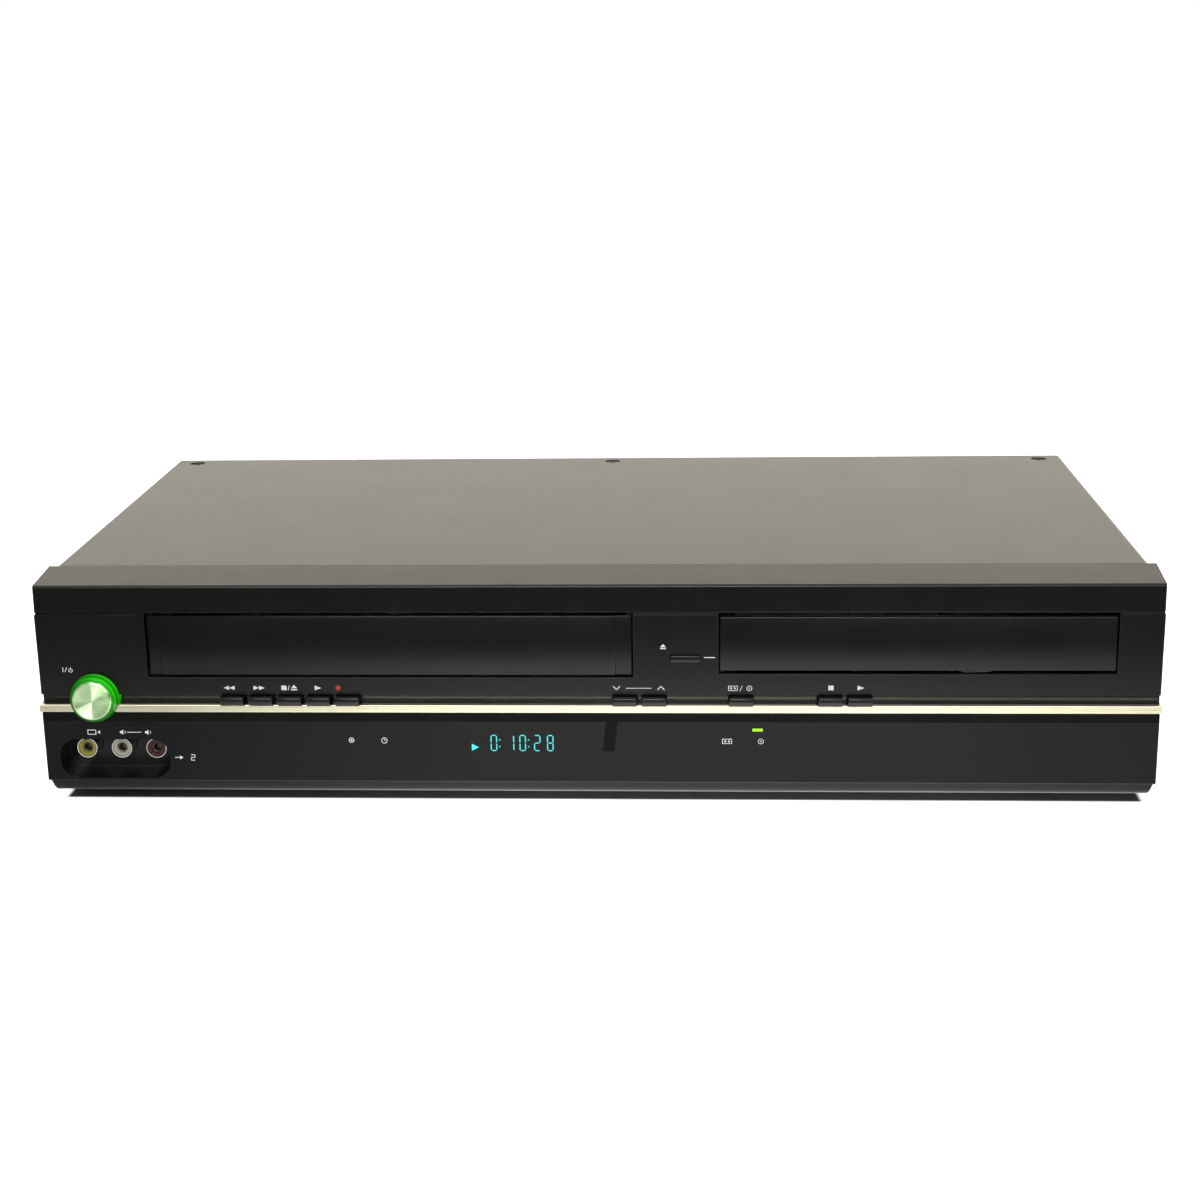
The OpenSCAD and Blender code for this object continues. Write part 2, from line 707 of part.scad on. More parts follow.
module front_panel() color(BLACK) place() {
    lug_x = slot_w / 2 + lug_gap;
    difference() {
        union() {
            panel_shell();
            recess_shape(1.5, seat_back - 1, recess_d + 1.5);
            for (x = keyboard_bosses)
                along_y([x, panel_back - 1, boss_z], boss_r, keyboard_d - panel_back + 1);
            for (x = display_bosses) along_y([x, seat_back - 1, display_z + 10], boss_r, 8.1);
            for (s = [-1, 1]) block(
                [slot_x + s * (lug_x + lug_t / 2) - lug_t / 2, panel_back - 1, hinge_z - 3.5],
                [slot_x + s * (lug_x + lug_t / 2) + lug_t / 2, hinge_d + 3.5, hinge_z + 3.5]);
        }
        block([slot_x - slot_w / 2, -5, slot_z], [slot_x + slot_w / 2, panel_back + 1, groove_z]);
        block([drawer_x - drawer_w / 2, -5, drawer_z],
              [drawer_x + drawer_w / 2, panel_back + 1, drawer_z + drawer_h]);
        for (x = key_xs) key_hole(x);
        block([open_key_x - open_key_w / 2 - 0.15, -5, open_key_z - open_key_h / 2 - 0.15],
              [open_key_x + open_key_w / 2 + 0.15, panel_back + 1, open_key_z + open_key_h / 2 + 0.15]);
        along_y([power_x, -5, power_z], ring_seat + 0.1, shelf_back + 6);
        recess_shape(0, -5, recess_d);
        for (x = av_xs) along_y([x, recess_d - 1, av_z], jack_r + 0.15, 4);
        block([display_x - display_w / 2 + 2, -1, display_z + 1],
              [display_x + display_w / 2 - 2, seat_back + 1, display_z + display_h - 1]);
        for (x = led_xs) along_y([x, -1, led_z], 1.7, seat_back + 2);
        along_x([slot_x - lug_x - lug_t - 1, hinge_d, hinge_z], door_pin_r + fit,
                2 * (lug_x + lug_t + 1));
    }
}

module window_lens() color(GLOSS) place() difference() {
    plate_x([[window_seat, window_z], [0.4 - window_foot, window_z], [-window_foot, window_z + 0.4],
             [-window_out, window_top - 0.4], [0.4 - window_out, window_top],
             [window_seat, window_top]], gap - half_w, half_w - gap);
    recess_shape(0, -5, 5);
    along_y([power_x, -5, power_z], ring_seat + 0.1, 10);
}

module trim_strip() color(STRIP) place() difference() {
    plate_x([[strip_seat, strip_low], [0.3 - strip_out, strip_low], [-strip_out, strip_low + 0.3],
             [-strip_out, strip_z - 0.3], [0.3 - strip_out, strip_z], [strip_seat, strip_z]],
            -half_w - strip_over, half_w + strip_over);
    along_y([power_x, -5, power_z], ring_seat + 0.1, 10);
}

module power_ring() color(GLOW) place() turned_y([power_x, 0, power_z], [
    [power_r + 0.2, -power_out + 1], [power_r + 0.5, -power_out + 0.7],
    [ring_r - 0.3, -power_out + 0.7], [ring_r, -power_out + 1], [ring_r, -2.2],
    [ring_seat, -2.2], [ring_seat, shelf_back + 0.2], [ring_seat + 2, shelf_back + 0.2],
    [ring_seat + 2, shelf_back + 1.2], [power_r + 0.2, shelf_back + 1.2]]);

module power_button() color(ALLOY) place() turned_y([power_x, 0, power_z], [
    [0, -power_out + 0.5], [power_r - 1.2, -power_out + 0.1], [power_r - 0.9, -power_out],
    [power_r - 0.3, -power_out], [power_r, -power_out + 0.3], [power_r, 4], [3, 4],
    [3, plunger_front - power_travel - 0.05], [0, plunger_front - power_travel - 0.05]]);

// a key: its cap in the channel, a flange behind the wall and a stem
module key(x, z, w, h, front, wall) {
    plate_y(moved(rounded(w, h, 0.5), [x, z]), front, wall + gap);
    block([x - w / 2, wall + gap - eps, z - h / 2 - 0.8], [x + w / 2, wall + gap + 1, z + h / 2 + 0.8]);
    block([x - 1.5, wall + gap, z - 1.2], [x + 1.5, plunger_front - key_travel - 0.05, z + 1.2]);
}

module channel_key(x) color(BLACK) place() key(x, key_z, key_w, key_h, -key_out, shelf_back);

module rewind_button() channel_key(tape_xs[0]);
module fast_forward_button() channel_key(tape_xs[1]);
module stop_eject_button() channel_key(tape_xs[2]);
module play_button() channel_key(tape_xs[3]);
module record_button() channel_key(tape_xs[4]);
module tracking_down_button() channel_key(track_xs[0]);
module tracking_up_button() channel_key(track_xs[1]);
module source_button() channel_key(source_key_x);
module disc_stop_button() channel_key(disc_xs[0]);
module disc_play_button() channel_key(disc_xs[1]);
module open_close_button() color(BLACK) place()
    key(open_key_x, open_key_z, open_key_w, open_key_h, -mid_out - 0.6, panel_back);

module tact_switch(x, z) {
    block([x - 3, keyboard_d - switch_d, z - 3], [x + 3, keyboard_d + eps, z + 3]);
    along_y([x, plunger_front, z], 1.5, plunger_l + eps);
}

module button_board() color(BOARD) place() {
    difference() {
        plate_y([[power_x - 10, keyboard_z], [disc_keys_x + 10, keyboard_z],
                 [disc_keys_x + 10, frame_z - 2 * gap], [open_key_x + 15, frame_z - 2 * gap],
                 [open_key_x + 15, keyboard_top], [open_key_x + 9, keyboard_top],
                 [open_key_x + 9, open_key_z + 6], [open_key_x - 9, open_key_z + 6],
                 [open_key_x - 9, keyboard_top], [power_x - 10, keyboard_top]],
                keyboard_d, keyboard_d + board_t);
        for (x = keyboard_bosses) along_y([x, keyboard_d - 1, boss_z], 1.2, 4);
    }
    color(GREY) for (x = key_xs) tact_switch(x, key_z);
    color(GREY) tact_switch(open_key_x, open_key_z);
    color(GREY) tact_switch(power_x, power_z);
}

module display_module() color(GLOSS) place() {
    back = seat_back + 7.1;
    block([display_x - display_w / 2, back - 6, display_z],
          [display_x + display_w / 2, back, display_z + display_h]);
    color(BOARD) block([display_bosses[0] - 5, back, display_z - 1.5],
                       [display_bosses[1] + 5, back + board_t, display_z + display_h + 1.5]);
    color([0.5, 0.8, 0.2]) for (x = led_xs) along_y([x, seat_back - 1, led_z], 1.5, 8.1 + eps);
}

module front_av_jacks() color(BLACK) place() {
    face = recess_d + 1.5 + 0.1;
    difference() {
        block([av_xs[0] - 7, face, av_z - 7.5], [av_xs[2] + 7, face + 11, av_z + 7.5]);
        for (x = av_xs) along_y([x, face - 1, av_z], pin_hole_r, 7);
    }
    for (i = [0:2]) color(SOCKETS[i]) difference() {
        union() {
            along_y([av_xs[i], recess_d - av_l, av_z], jack_r, av_l - neck_gap);
            along_y([av_xs[i], recess_d - 1, av_z], jack_r - neck_in, face - recess_d + 1 + eps);
        }
        along_y([av_xs[i], recess_d - av_l - 1, av_z], pin_hole_r, 20);
    }
}

// ---- cassette slot and tape deck ----

module cassette_door() color(BLACK) place() {
    x0 = slot_x - door_w / 2;
    x1 = slot_x + door_w / 2;
    back = door_front + door_t;
    ear = concat([[back - 0.5, door_top - 10], [back - 0.5, door_top]],
                 arc([hinge_d, hinge_z], 2.2, 180, 0), [[back + 1.5, door_top - 10]]);
    block([x0, door_front, door_low], [x1, back, door_top]);
    block([x0 + pad_left, door_front - door_pad, door_low],
          [x1 - pad_right, door_front + eps, door_top]);
    plate_x(ear, x0, x0 + ear_t);
    plate_x(ear, x1 - ear_t, x1);
    along_x([x0 - 4, hinge_d, hinge_z], door_pin_r, 4 + eps);
    along_x([x1 - eps, hinge_d, hinge_z], door_pin_r, 4 + eps);
}

// a torsion spring round the left hinge pin, inside the ear
module door_spring() color(STEEL) place() {
    x0 = slot_x - door_w / 2 + ear_t + gap;
    wire = 0.35;
    coil = 2.4;
    turns = 6;
    for (i = [0:turns - 1]) translate([x0 + wire + i * (2 * wire + 0.01), hinge_d, hinge_z])
        rotate([0, 90, 0]) rotate_extrude() translate([coil, 0]) circle(r = wire);
    block([x0 + 2 * wire, panel_back + fit, hinge_z - wire],
          [x0 + 2 * wire + 0.5, hinge_d - coil, hinge_z + 4]);
    block([x0, hinge_d, hinge_z + coil],
          [x0 + turns * (2 * wire + 0.01), hinge_d + 0.3, hinge_z + coil + 0.3]);
}

// the outline of a slot with round ends from a to b
function slot_outline(a, b, r) = let (turn = atan2(b[1] - a[1], b[0] - a[0]))
    concat(arc(a, r, turn + 90, turn + 270), arc(b, r, turn - 90, turn + 90));

module guide_slot(s) {
    a = [slot_x + s * guide_x, guide_d];
    translate([0, 0, deck_z - 1]) linear_extrude(deck_t + 2) polygon(
        slot_outline(a, a + [s * guide_step[0], guide_step[1]], holder_pin_r + fit));
}

// the plate that a side of the holder runs in: straight back, then down at two places
module holder_slot() {
    ends = [for (d = holder_pins) d + holder_travel];
    low = holder_pin_z - holder_drop;
    r = holder_pin_r + 0.1;
    difference() {
        plate_x([[deck_front, deck_z], [ends[1] + 12, deck_z], [ends[1] + 12, holder_pin_z + 4],
                 [ends[1] + 8, holder_pin_z + 8], [deck_front + 4, holder_pin_z + 8],
                 [deck_front, holder_pin_z + 4]], 0, deck_t);
        plate_x(concat(
            arc([holder_pins[0], holder_pin_z], r, 90, 270), [[ends[0] - r, holder_pin_z - r]],
            arc([ends[0], low], r, 180, 360),
            [[ends[0] + r, holder_pin_z - r], [ends[1] - r, holder_pin_z - r]],
            arc([ends[1], low], r, 180, 360), arc([ends[1], holder_pin_z], r, 0, 90)),
            -1, deck_t + 1);
    }
}

module deck_chassis() color(ZINC) place() {
    difference() {
        union() {
            block([slot_x - deck_half, deck_front, deck_z], [slot_x + deck_half, deck_back, deck_top]);
            translate([slot_x - deck_half, 0, 0]) holder_slot();
            translate([slot_x + bracket_half, 0, 0]) holder_slot();
            for (s = [-1, 1]) translate([slot_x + s * reel_pitch / 2, reel_d, deck_z])
                cylinder(r = axle_r, h = 18);
            translate([cam_x, cam_d, deck_z]) cylinder(r = axle_r, h = worm_z - deck_z + 2);
            translate([pinch_x, pinch_d, deck_z]) cylinder(r = axle_r, h = 8);
            translate([capstan_x, capstan_d, deck_z]) cylinder(r = 3.4, h = 7.5);
        }
        for (s = [-1, 1]) guide_slot(s);
        translate([capstan_x, capstan_d, deck_z - 1]) cylinder(r = capstan_r + fit, h = 20);
        for (p = deck_posts) translate([p[0], p[1], deck_z - 1]) cylinder(r = 1.6, h = 4);
    }
}

module cassette_holder() color(ZINC) place() {
    d1 = holder_front + holder_len;
    for (s = [0, 1]) translate([slot_x, 0, 0]) mirror([s, 0, 0]) {
        block([-eps, holder_front, holder_z], [holder_half, d1, holder_z + holder_t]);
        block([holder_half - holder_t, holder_front, holder_z], [holder_half, d1, holder_top]);
        block([holder_half - 16, holder_front, holder_top - holder_t], [holder_half, d1, holder_top]);
        for (d = holder_pins)
            along_x([holder_half - eps, d, holder_pin_z], holder_pin_r, bracket_gap + deck_t + 1);
    }
}

module at_drum() translate([slot_x, drum_d, drum_z]) rotate([drum_lean, 0, 0]) children();

module drum_base() color(ALLOY) place() {
    translate([slot_x, drum_d, deck_top]) cylinder(r = drum_r - 10, h = 8);
    at_drum() difference() {
        cylinder(r = drum_r, h = drum_split);
        translate([0, 0, 4]) cylinder(r = 3 + fit, h = 20);
        translate([0, 0, drum_split - 5]) difference() {
            cylinder(r = drum_r - 4, h = 6);
            translate([0, 0, -1]) cylinder(r = 8, h = 8);
        }
    }
}

module head_drum() color(ALLOY) place() at_drum() difference() {
    union() {
        translate([0, 0, drum_split + 0.2]) cylinder(r = drum_r, h = 17);
        translate([0, 0, drum_split + 17]) cylinder(r = 10, h = 5);
        translate([0, 0, 4.2]) cylinder(r = 3, h = drum_split);
    }
    translate([0, 0, drum_split + 14]) difference() {
        cylinder(r = drum_r - 5, h = 4);
        translate([0, 0, -1]) cylinder(r = 14, h = 6);
    }
    for (a = [0:60:300]) rotate(a) translate([drum_r - 1.5, -1, drum_split]) cube([3, 2, 1.2]);
}

module capstan() color(STEEL) place() translate([capstan_x, capstan_d, 0]) {
    translate([0, 0, deck_z - 8]) cylinder(r = capstan_r, h = 32.5);
    translate([0, 0, deck_z - 8]) difference() {
        cylinder(r = flywheel_r, h = 6);
        translate([0, 0, 4]) difference() {
            cylinder(r = flywheel_r - 3, h = 3);
            translate([0, 0, -1]) cylinder(r = 6, h = 5);
        }
    }
}

function pinch_end() = [pinch_x, pinch_d] + pinch_arm_l * [cos(pinch_rest), sin(pinch_rest)];

module pinch_arm() color(ZINC) place() {
    end = pinch_end();
    arm_z = deck_top + 2.3;
    difference() {
        union() {
            translate([pinch_x, pinch_d, deck_top + 0.2]) cylinder(r = 4, h = 6);
            translate([end[0], end[1], arm_z]) cylinder(r = 3.6, h = 2.6);
            translate([pinch_x, pinch_d, arm_z]) rotate(pinch_rest) translate([0, -3.6, 0])
                cube([pinch_arm_l, 7.2, 2.6]);
            translate([end[0], end[1], arm_z]) cylinder(r = capstan_r, h = 17.5);
        }
        translate([pinch_x, pinch_d, deck_z]) cylinder(r = axle_r + fit, h = 20);
    }
}

module pinch_roller() color(BLACK) place()
    translate([pinch_end()[0], pinch_end()[1], deck_top + 7]) difference() {
        cylinder(r = pinch_r, h = 11.5);
        translate([0, 0, -1]) cylinder(r = capstan_r + fit, h = 20);
    }

module reel(s) color(GREY) place()
    translate([slot_x + s * reel_pitch / 2, reel_d, deck_top + 0.3]) difference() {
        union() {
            cylinder(r = reel_r, h = 3);
            cylinder(r = 7, h = 6);
            cylinder(r = 5, h = 15.5);
            for (a = [0:60:300]) rotate(a) translate([4, -0.7, 0]) cube([3, 1.4, 13]);
        }
        translate([0, 0, -1]) cylinder(r = axle_r + fit, h = 30);
    }

module supply_reel() reel(-1);
module takeup_reel() reel(1);

module guide(s) color(ALLOY) place() translate([slot_x + s * guide_x, guide_d, 0]) {
    translate([0, 0, deck_z - 0.5]) cylinder(r = holder_pin_r, h = deck_t + 1);
    translate([-5, -6, deck_top + 0.2]) cube([10, 12, 5]);
    translate([0, 0, deck_top + 5]) cylinder(r = 1.6, h = 18);
    translate([0, 0, deck_top + 7]) cylinder(r = 3.4, h = 13);
}

module supply_guide() guide(-1);
module takeup_guide() guide(1);

module tape_heads() color(GREY) place() for (p = [[slot_x - 49, 146], [slot_x + 55, 170]]) {
    translate([p[0] - 4, p[1] - 3, deck_top]) cube([8, 6, 3]);
    translate([p[0] - 3, p[1] - 3.5, deck_top + 2]) cube([6, 6, 16]);
}

module loading_motor() color(STEEL) place() {
    along_x([cam_x - 34, worm_d, worm_z], 9, 22);
    along_x([cam_x - 12.1, worm_d, worm_z], 2.5, 2);
    along_x([cam_x - 12, worm_d, worm_z], 1, 22);
    block([cam_x - 30, worm_d - 6, deck_top], [cam_x - 16, worm_d + 6, deck_top + 4]);
}

module loading_worm() color(NATURAL) place() difference() {
    union() {
        along_x([cam_x - 9, worm_d, worm_z], worm_r - 0.8, 18);
        for (i = [0:4]) along_x([cam_x - 7.4 + 3.1 * i, worm_d, worm_z], worm_r, 1.4);
    }
    along_x([cam_x - 10, worm_d, worm_z], 1 + fit, 24);
}

module cam_gear() color(NATURAL) place() translate([cam_x, cam_d, 0]) difference() {
    union() {
        translate([0, 0, worm_z - 1.5]) gear(cam_teeth, 3);
        translate([0, 0, deck_top + 0.3]) cylinder(r = 5, h = worm_z - deck_top);
    }
    translate([0, 0, deck_z]) cylinder(r = axle_r + fit, h = 20);
    translate([0, 0, worm_z]) difference() {
        cylinder(r = 11, h = 3);
        translate([0, 0, -1]) cylinder(r = 8.5, h = 5);
        block([-12, -12, -1], [0, 12, 5]);
    }
}

// ---- disc loader ----

module at_drawer() place() translate([drawer_x, 0, 0]) children();

module loader_frame() color(BLACK) at_drawer() {
    back = frame_front + loader_d;
    win_front = traverse_front - 8;
    win_half = traverse_half + 2.5;
    difference() {
        union() {
            block([-frame_half, frame_front, frame_z], [frame_half, back, frame_floor]);
            for (s = [0, 1]) mirror([s, 0, 0]) {
                block([frame_in, frame_front, frame_z], [frame_half, back, frame_top]);
                block([frame_in - 2.6, frame_front, tray_z - 0.8], [frame_in + eps, back, tray_z - 0.2]);
                for (d = [20, 128])
                    block([frame_in - 2.6, d, tray_top + gap], [frame_in + eps, d + 20, tray_top + 2.3]);
                block([win_half, pivot_d - 6, traverse_z - 3], [win_half + 3, pivot_d + 6, frame_floor]);
            }
            block([-frame_half, back - loader_t, frame_z], [frame_half, back, frame_top - 8]);
            for (p = [[drive_x, tray_floor - gap], [pinion_x, gear_z + 2.8]])
                translate([p[0] - drawer_x, drive_d, frame_z]) cylinder(r = axle_r, h = p[1] - frame_z);
            block([-12, win_front, traverse_z - 4], [12, win_front + 2, frame_floor]);
            block([-12, win_front, traverse_z - 4], [12, traverse_front + 4, traverse_z - 1.5]);
        }
        block([-win_half, win_front + 2, frame_z - 1], [win_half, back - 10, frame_floor + 1]);
        along_x([-60, pivot_d, pivot_z], 2 + fit, 120);
        translate([motor_x - drawer_x, drive_d, frame_z - 1]) cylinder(r = 3, h = 4);
    }
}

module rack_teeth_row() {
    pitch = PI * tooth;
    half_thick = pitch / 4 - 0.06;
    lean = tan(20);
    for (i = [-3:37]) {
        d = drive_d + (i + 0.5) * pitch;
        if (d > tray_front + 8 && d < tray_front + tray_d - 4)
            translate([rack_x - drawer_x, d, tray_floor - 2.6]) linear_extrude(2.6 + eps) polygon([
                [-1.25 * tooth - eps, -half_thick - 1.25 * tooth * lean],
                [0.95 * tooth, -half_thick + 0.95 * tooth * lean],
                [0.95 * tooth, half_thick - 0.95 * tooth * lean],
                [-1.25 * tooth - eps, half_thick + 1.25 * tooth * lean]]);
    }
}

module disc_tray() color(BLACK) at_drawer() {
    back = tray_front + tray_d;
    difference() {
        block([-tray_half, tray_front, tray_floor], [tray_half, back, tray_top]);
        translate([0, well_d, well_z]) cylinder(r = well_r, h = 20);
        translate([0, well_d, well_z - 1]) cylinder(r = small_well_r, h = 20);
        block([-21, well_d - 18, 0], [21, well_d + 58, tray_top + 1]);
        for (s = [-1, 1]) translate([s * (tray_half + 6), well_d, well_z]) cylinder(r = 16, h = 20);
    }
    for (s = [0, 1]) mirror([s, 0, 0])
        block([tray_half - 3, tray_front, tray_z], [tray_half, back, tray_floor + eps]);
    block([-tray_half, tray_front, tray_z], [tray_half, tray_front + 2.5, tray_floor + eps]);
    block([rack_x - drawer_x - 1.25 * tooth - 3, tray_front, tray_floor - 2.6],
          [rack_x - drawer_x - 1.25 * tooth, back, tray_floor + eps]);
    rack_teeth_row();
}

module tray_door() color(BLACK) at_drawer() {
    front = 0.3;
    half = drawer_w / 2 - drawer_gap;
    low = drawer_z + drawer_gap + 0.7;
    high = drawer_z + drawer_h - drawer_gap - 0.8;
    block([-half, front, low], [half, front + drawer_t, high]);
    for (s = [-1, 1]) {
        block([s * 45 - 5, front, tray_z + 2], [s * 45 + 5, tray_front, tray_top + 1.5]);
        block([s * 45 - 5, front, tray_top + 0.2], [s * 45 + 5, tray_front + 4, tray_top + 1.5]);
    }
}

module drive_gear() color(NATURAL) place() translate([drive_x, drive_d, 0]) difference() {
    union() {
        translate([0, 0, frame_floor + gap]) cylinder(r = 4, h = 6);
        translate([0, 0, gear_z]) gear(large_teeth, 2.6);
        translate([0, 0, gear_z + 2]) cylinder(r = 6, h = 2);
        translate([0, 0, tray_floor - 2.6]) gear(rack_teeth, 2.3);
    }
    translate([0, 0, frame_z]) cylinder(r = axle_r + fit, h = 20);
}

module pulley(groove, wall) difference() {
    cylinder(r = groove + wall, h = 3.3);
    translate([0, 0, belt_z - belt_t / 2 - 0.2 - frame_floor - gap]) difference() {
        cylinder(r = groove + wall + 1, h = belt_t + 0.4);
        translate([0, 0, -1]) cylinder(r = groove, h = 5);
    }
}

module pulley_gear() color(NATURAL) place() translate([pinion_x, drive_d, 0]) difference() {
    union() {
        translate([0, 0, frame_floor + gap]) pulley(pulley_groove, 1.5);
        translate([0, 0, gear_z - 0.5]) cylinder(r = 4.5, h = 1);
        translate([0, 0, gear_z]) gear(pinion_teeth, 2.6, 180 / pinion_teeth);
    }
    translate([0, 0, frame_z]) cylinder(r = axle_r + fit, h = 20);
}

module belt_loop(grow) hull() {
    translate([pinion_x, drive_d]) circle(r = pulley_groove + 0.1 + grow);
    translate([motor_x, drive_d]) circle(r = motor_groove + 0.1 + grow);
}

module loader_belt() color(BLACK) place() translate([0, 0, belt_z - belt_t / 2])
    linear_extrude(belt_t) difference() {
        belt_loop(belt_t);
        belt_loop(0);
    }

module tray_motor() color(STEEL) place() translate([motor_x, drive_d, 0]) {
    translate([0, 0, frame_z - 20]) cylinder(r = 10, h = 20);
    translate([0, 0, frame_z - 1]) cylinder(r = 2.8, h = 2.8);
    translate([0, 0, frame_z]) cylinder(r = 1, h = 6);
}

module motor_pulley() color(BRASS) place() translate([motor_x, drive_d, frame_floor + gap]) difference() {
    pulley(motor_groove, 1.2);
    translate([0, 0, -1]) cylinder(r = 1 + fit, h = 10);
}

module traverse_deck() color(GREY) at_drawer() {
    open_front = spindle_d + 14;
    open_back = sled_front + sled_l + sled_travel + 2;
    difference() {
        union() {
            block([-traverse_half, traverse_front, traverse_z],
                  [traverse_half, pivot_d + 10, traverse_z + traverse_t]);
            for (s = [-1, 1]) {
                along_x([s > 0 ? traverse_half - eps : -traverse_half - 4, pivot_d, pivot_z], 2, 4 + eps);
                for (d = [open_front - 4, open_back]) block(
                    [s * rod_x - 3.5, d, rod_z - 3], [s * rod_x + 3.5, d + 4, traverse_z + eps]);
            }
            translate([0, spindle_d, traverse_z - 3]) cylinder(r = 8, h = 7);
        }
        block([-21.5, open_front, traverse_z - 1], [21.5, open_back, traverse_z + 5]);
        translate([0, spindle_d, traverse_z - 4]) cylinder(r = 1.2 + fit, h = 12);
        for (s = [-1, 1]) along_y([s * rod_x, open_front - 5, rod_z], rod_r + 0.02, far);
    }
}

module turntable() color(GREY) at_drawer() translate([0, spindle_d, 0]) {
    translate([0, 0, traverse_z - 2]) cylinder(r = 1.2, h = 10);
    translate([0, 0, traverse_z + 4.5]) cylinder(r = table_r - 1.5, h = 6.1);
    translate([0, 0, table_top - 2.5]) cylinder(r = table_r, h = 2.5);
    translate([0, 0, table_top - eps]) cylinder(r1 = hub_r, r2 = hub_r - 1.6, h = 2.6);
}

module pickup_sled() color(STEEL) at_drawer() {
    mid = sled_front + sled_l / 2;
    difference() {
        union() {
            block([-19, sled_front, rod_z - 2.5], [19, sled_front + sled_l, rod_z + 8.8]);
            block([-rod_x - 2.8, mid - 12, rod_z - 2.5], [rod_x + 2.8, mid + 12, rod_z + 2.3]);
            translate([-7, mid - 8, rod_z + 7.8]) cube([14, 14, 3]);
        }
        for (s = [-1, 1]) along_y([s * rod_x, sled_front - 1, rod_z], rod_r + fit, sled_l + 2);
    }
    color(GLOSS) translate([0, mid - 1, rod_z + 10.7]) cylinder(r = 2.6, h = 1.4);
}

module guide_rods() color(ALLOY) at_drawer() for (s = [-1, 1])
    along_y([s * rod_x, spindle_d + 10, rod_z], rod_r, sled_l + sled_travel + 12);

module clamper_bridge() color(ZINC) at_drawer() difference() {
    block([-frame_half, spindle_d - 14, frame_top], [frame_half, spindle_d + 14, frame_top + 1.2]);
    translate([0, spindle_d, frame_top - 1]) cylinder(r = 9, h = 4);
}

module clamper() color(NATURAL) at_drawer() translate([0, spindle_d, 0]) difference() {
    union() {
        translate([0, 0, clamp_z]) cylinder(r = clamp_r, h = 3.5);
        translate([0, 0, clamp_z]) cylinder(r = 8, h = frame_top + 1.5 - clamp_z);
        translate([0, 0, frame_top + 1.5]) cylinder(r = 12, h = 1.2);
    }
    translate([0, 0, clamp_z - 1]) cylinder(r = hub_r + 1.1, h = 3.4);
}

// ---- boards and rear sockets ----

module chip(p, size) translate([p[0], p[1], board_top - eps]) cube(size);

module main_board() color(BOARD) place() {
    difference() {
        translate([0, 0, board_z]) linear_extrude(board_t) polygon([
            [52.5 - half_w, 26], [half_w - 23.5, 26], [half_w - 23.5, power_front - 14],
            [power_left - 10, power_front - 14], [power_left - 10, rear_d - 6], [52.5 - half_w, rear_d - 6]]);
        for (p = deck_posts) translate([p[0], p[1], board_z - 1]) cylinder(r = 4.2, h = 5);
        for (p = board_posts) translate([p[0], p[1], board_z - 1]) cylinder(r = 1.6, h = 5);
    }
    color(GREY) {
        for (c = [[[-31, 60], [28, 28, 1.6]], [[19, 84], [14, 20, 1.4]], [[-41, 150], [20, 8, 1.4]],
                  [[79, 120], [10, 10, 1.4]], [[-11, 200], [24, 10, 8]]])
            chip(c[0] + [slot_x, 0], c[1]);
        for (c = [[[-44.9, 60], [26, 26, 1.8]], [[5.1, 64], [22, 12, 1.2]],
                  [[5.1, 84], [22, 12, 1.2]], [[-52.9, 100], [18, 10, 1.4]]])
            chip(c[0] + [drawer_x, 0], c[1]);
    }
    color(STEEL) for (p = [[-102.9, 40], [-90.9, 40], [-78.9, 40], [-64.9, 130],
                           [35.1, 120], [47.1, 120], [-104.9, 200], [-92.9, 214]])
        translate([drawer_x + p[0], p[1], board_top - eps]) cylinder(r = 3, h = 8);
}

module power_board() color([0.45, 0.32, 0.16]) place() {
    difference() {
        block([power_left, power_front, board_z], [power_right, power_back, board_top]);
        for (p = power_posts) translate([p[0], p[1], board_z - 1]) cylinder(r = 1.6, h = 5);
    }
    translate([power_left, power_front, board_top - eps]) {
        color([0.75, 0.68, 0.30]) translate([50, 22, 0]) cube([30, 28, 24 + eps]);
        color(GREY) for (p = [[100, 32], [120, 32], [24, 28], [24, 48]])
            translate([p[0], p[1], 0]) cylinder(r = 7, h = 22);
        color(STEEL) translate([38, 18, 0]) cube([2, 36, 26 + eps]);
        color(STEEL) translate([90, 50, 0]) cube([28, 2, 22 + eps]);
    }
}

module barrel_group(xs, zs, colours) for (i = [0:len(xs) - 1]) for (z = zs) color(colours[i]) difference() {
    union() {
        along_y([xs[i], rear_d - pan_t - eps, z], jack_r - neck_in, pan_t + 1);
        along_y([xs[i], rear_d + neck_gap, z], jack_r, jack_l - neck_gap);
    }
    along_y([xs[i], rear_d - 8, z], pin_hole_r, far);
}

module socket_body(x0, x1, top, xs, zs) difference() {
    block([x0, rear_d - pan_t - 14, board_top + 0.1], [x1, rear_d - pan_t, top]);
    for (x = xs) for (z = zs) along_y([x, rear_d - 8, z], pin_hole_r, far);
}

module rear_jacks() color(BLACK) place() {
    socket_body(line_xs[0] - 7, line_xs[2] + 7, row_zs[1] + 8, line_xs, row_zs);
    barrel_group(line_xs, row_zs, SOCKETS);
    socket_body(colour_xs[0] - 7, digital_x + 6, row_z + 8, concat(colour_xs, [digital_x]), [row_z]);
    barrel_group(concat(colour_xs, [digital_x]), [row_z], concat(COLOUR_SOCKETS, [SOCKETS[0]]));
    socket_body(sound_xs[0] - 6, sound_xs[1] + 7, row_z + 8, sound_xs, [row_z]);
    barrel_group(sound_xs, [row_z], [SOCKETS[1], SOCKETS[2]]);
    difference() {
        union() {
            block([round_x - 8, rear_d - pan_t - 14, board_top + 0.1],
                  [round_x + 8, rear_d - pan_t, row_z + 8]);
            along_y([round_x, rear_d - pan_t - eps, row_z], 6, pan_t + 2);
        }
        along_y([round_x, rear_d - 6, row_z], 4.8, 20);
    }
}

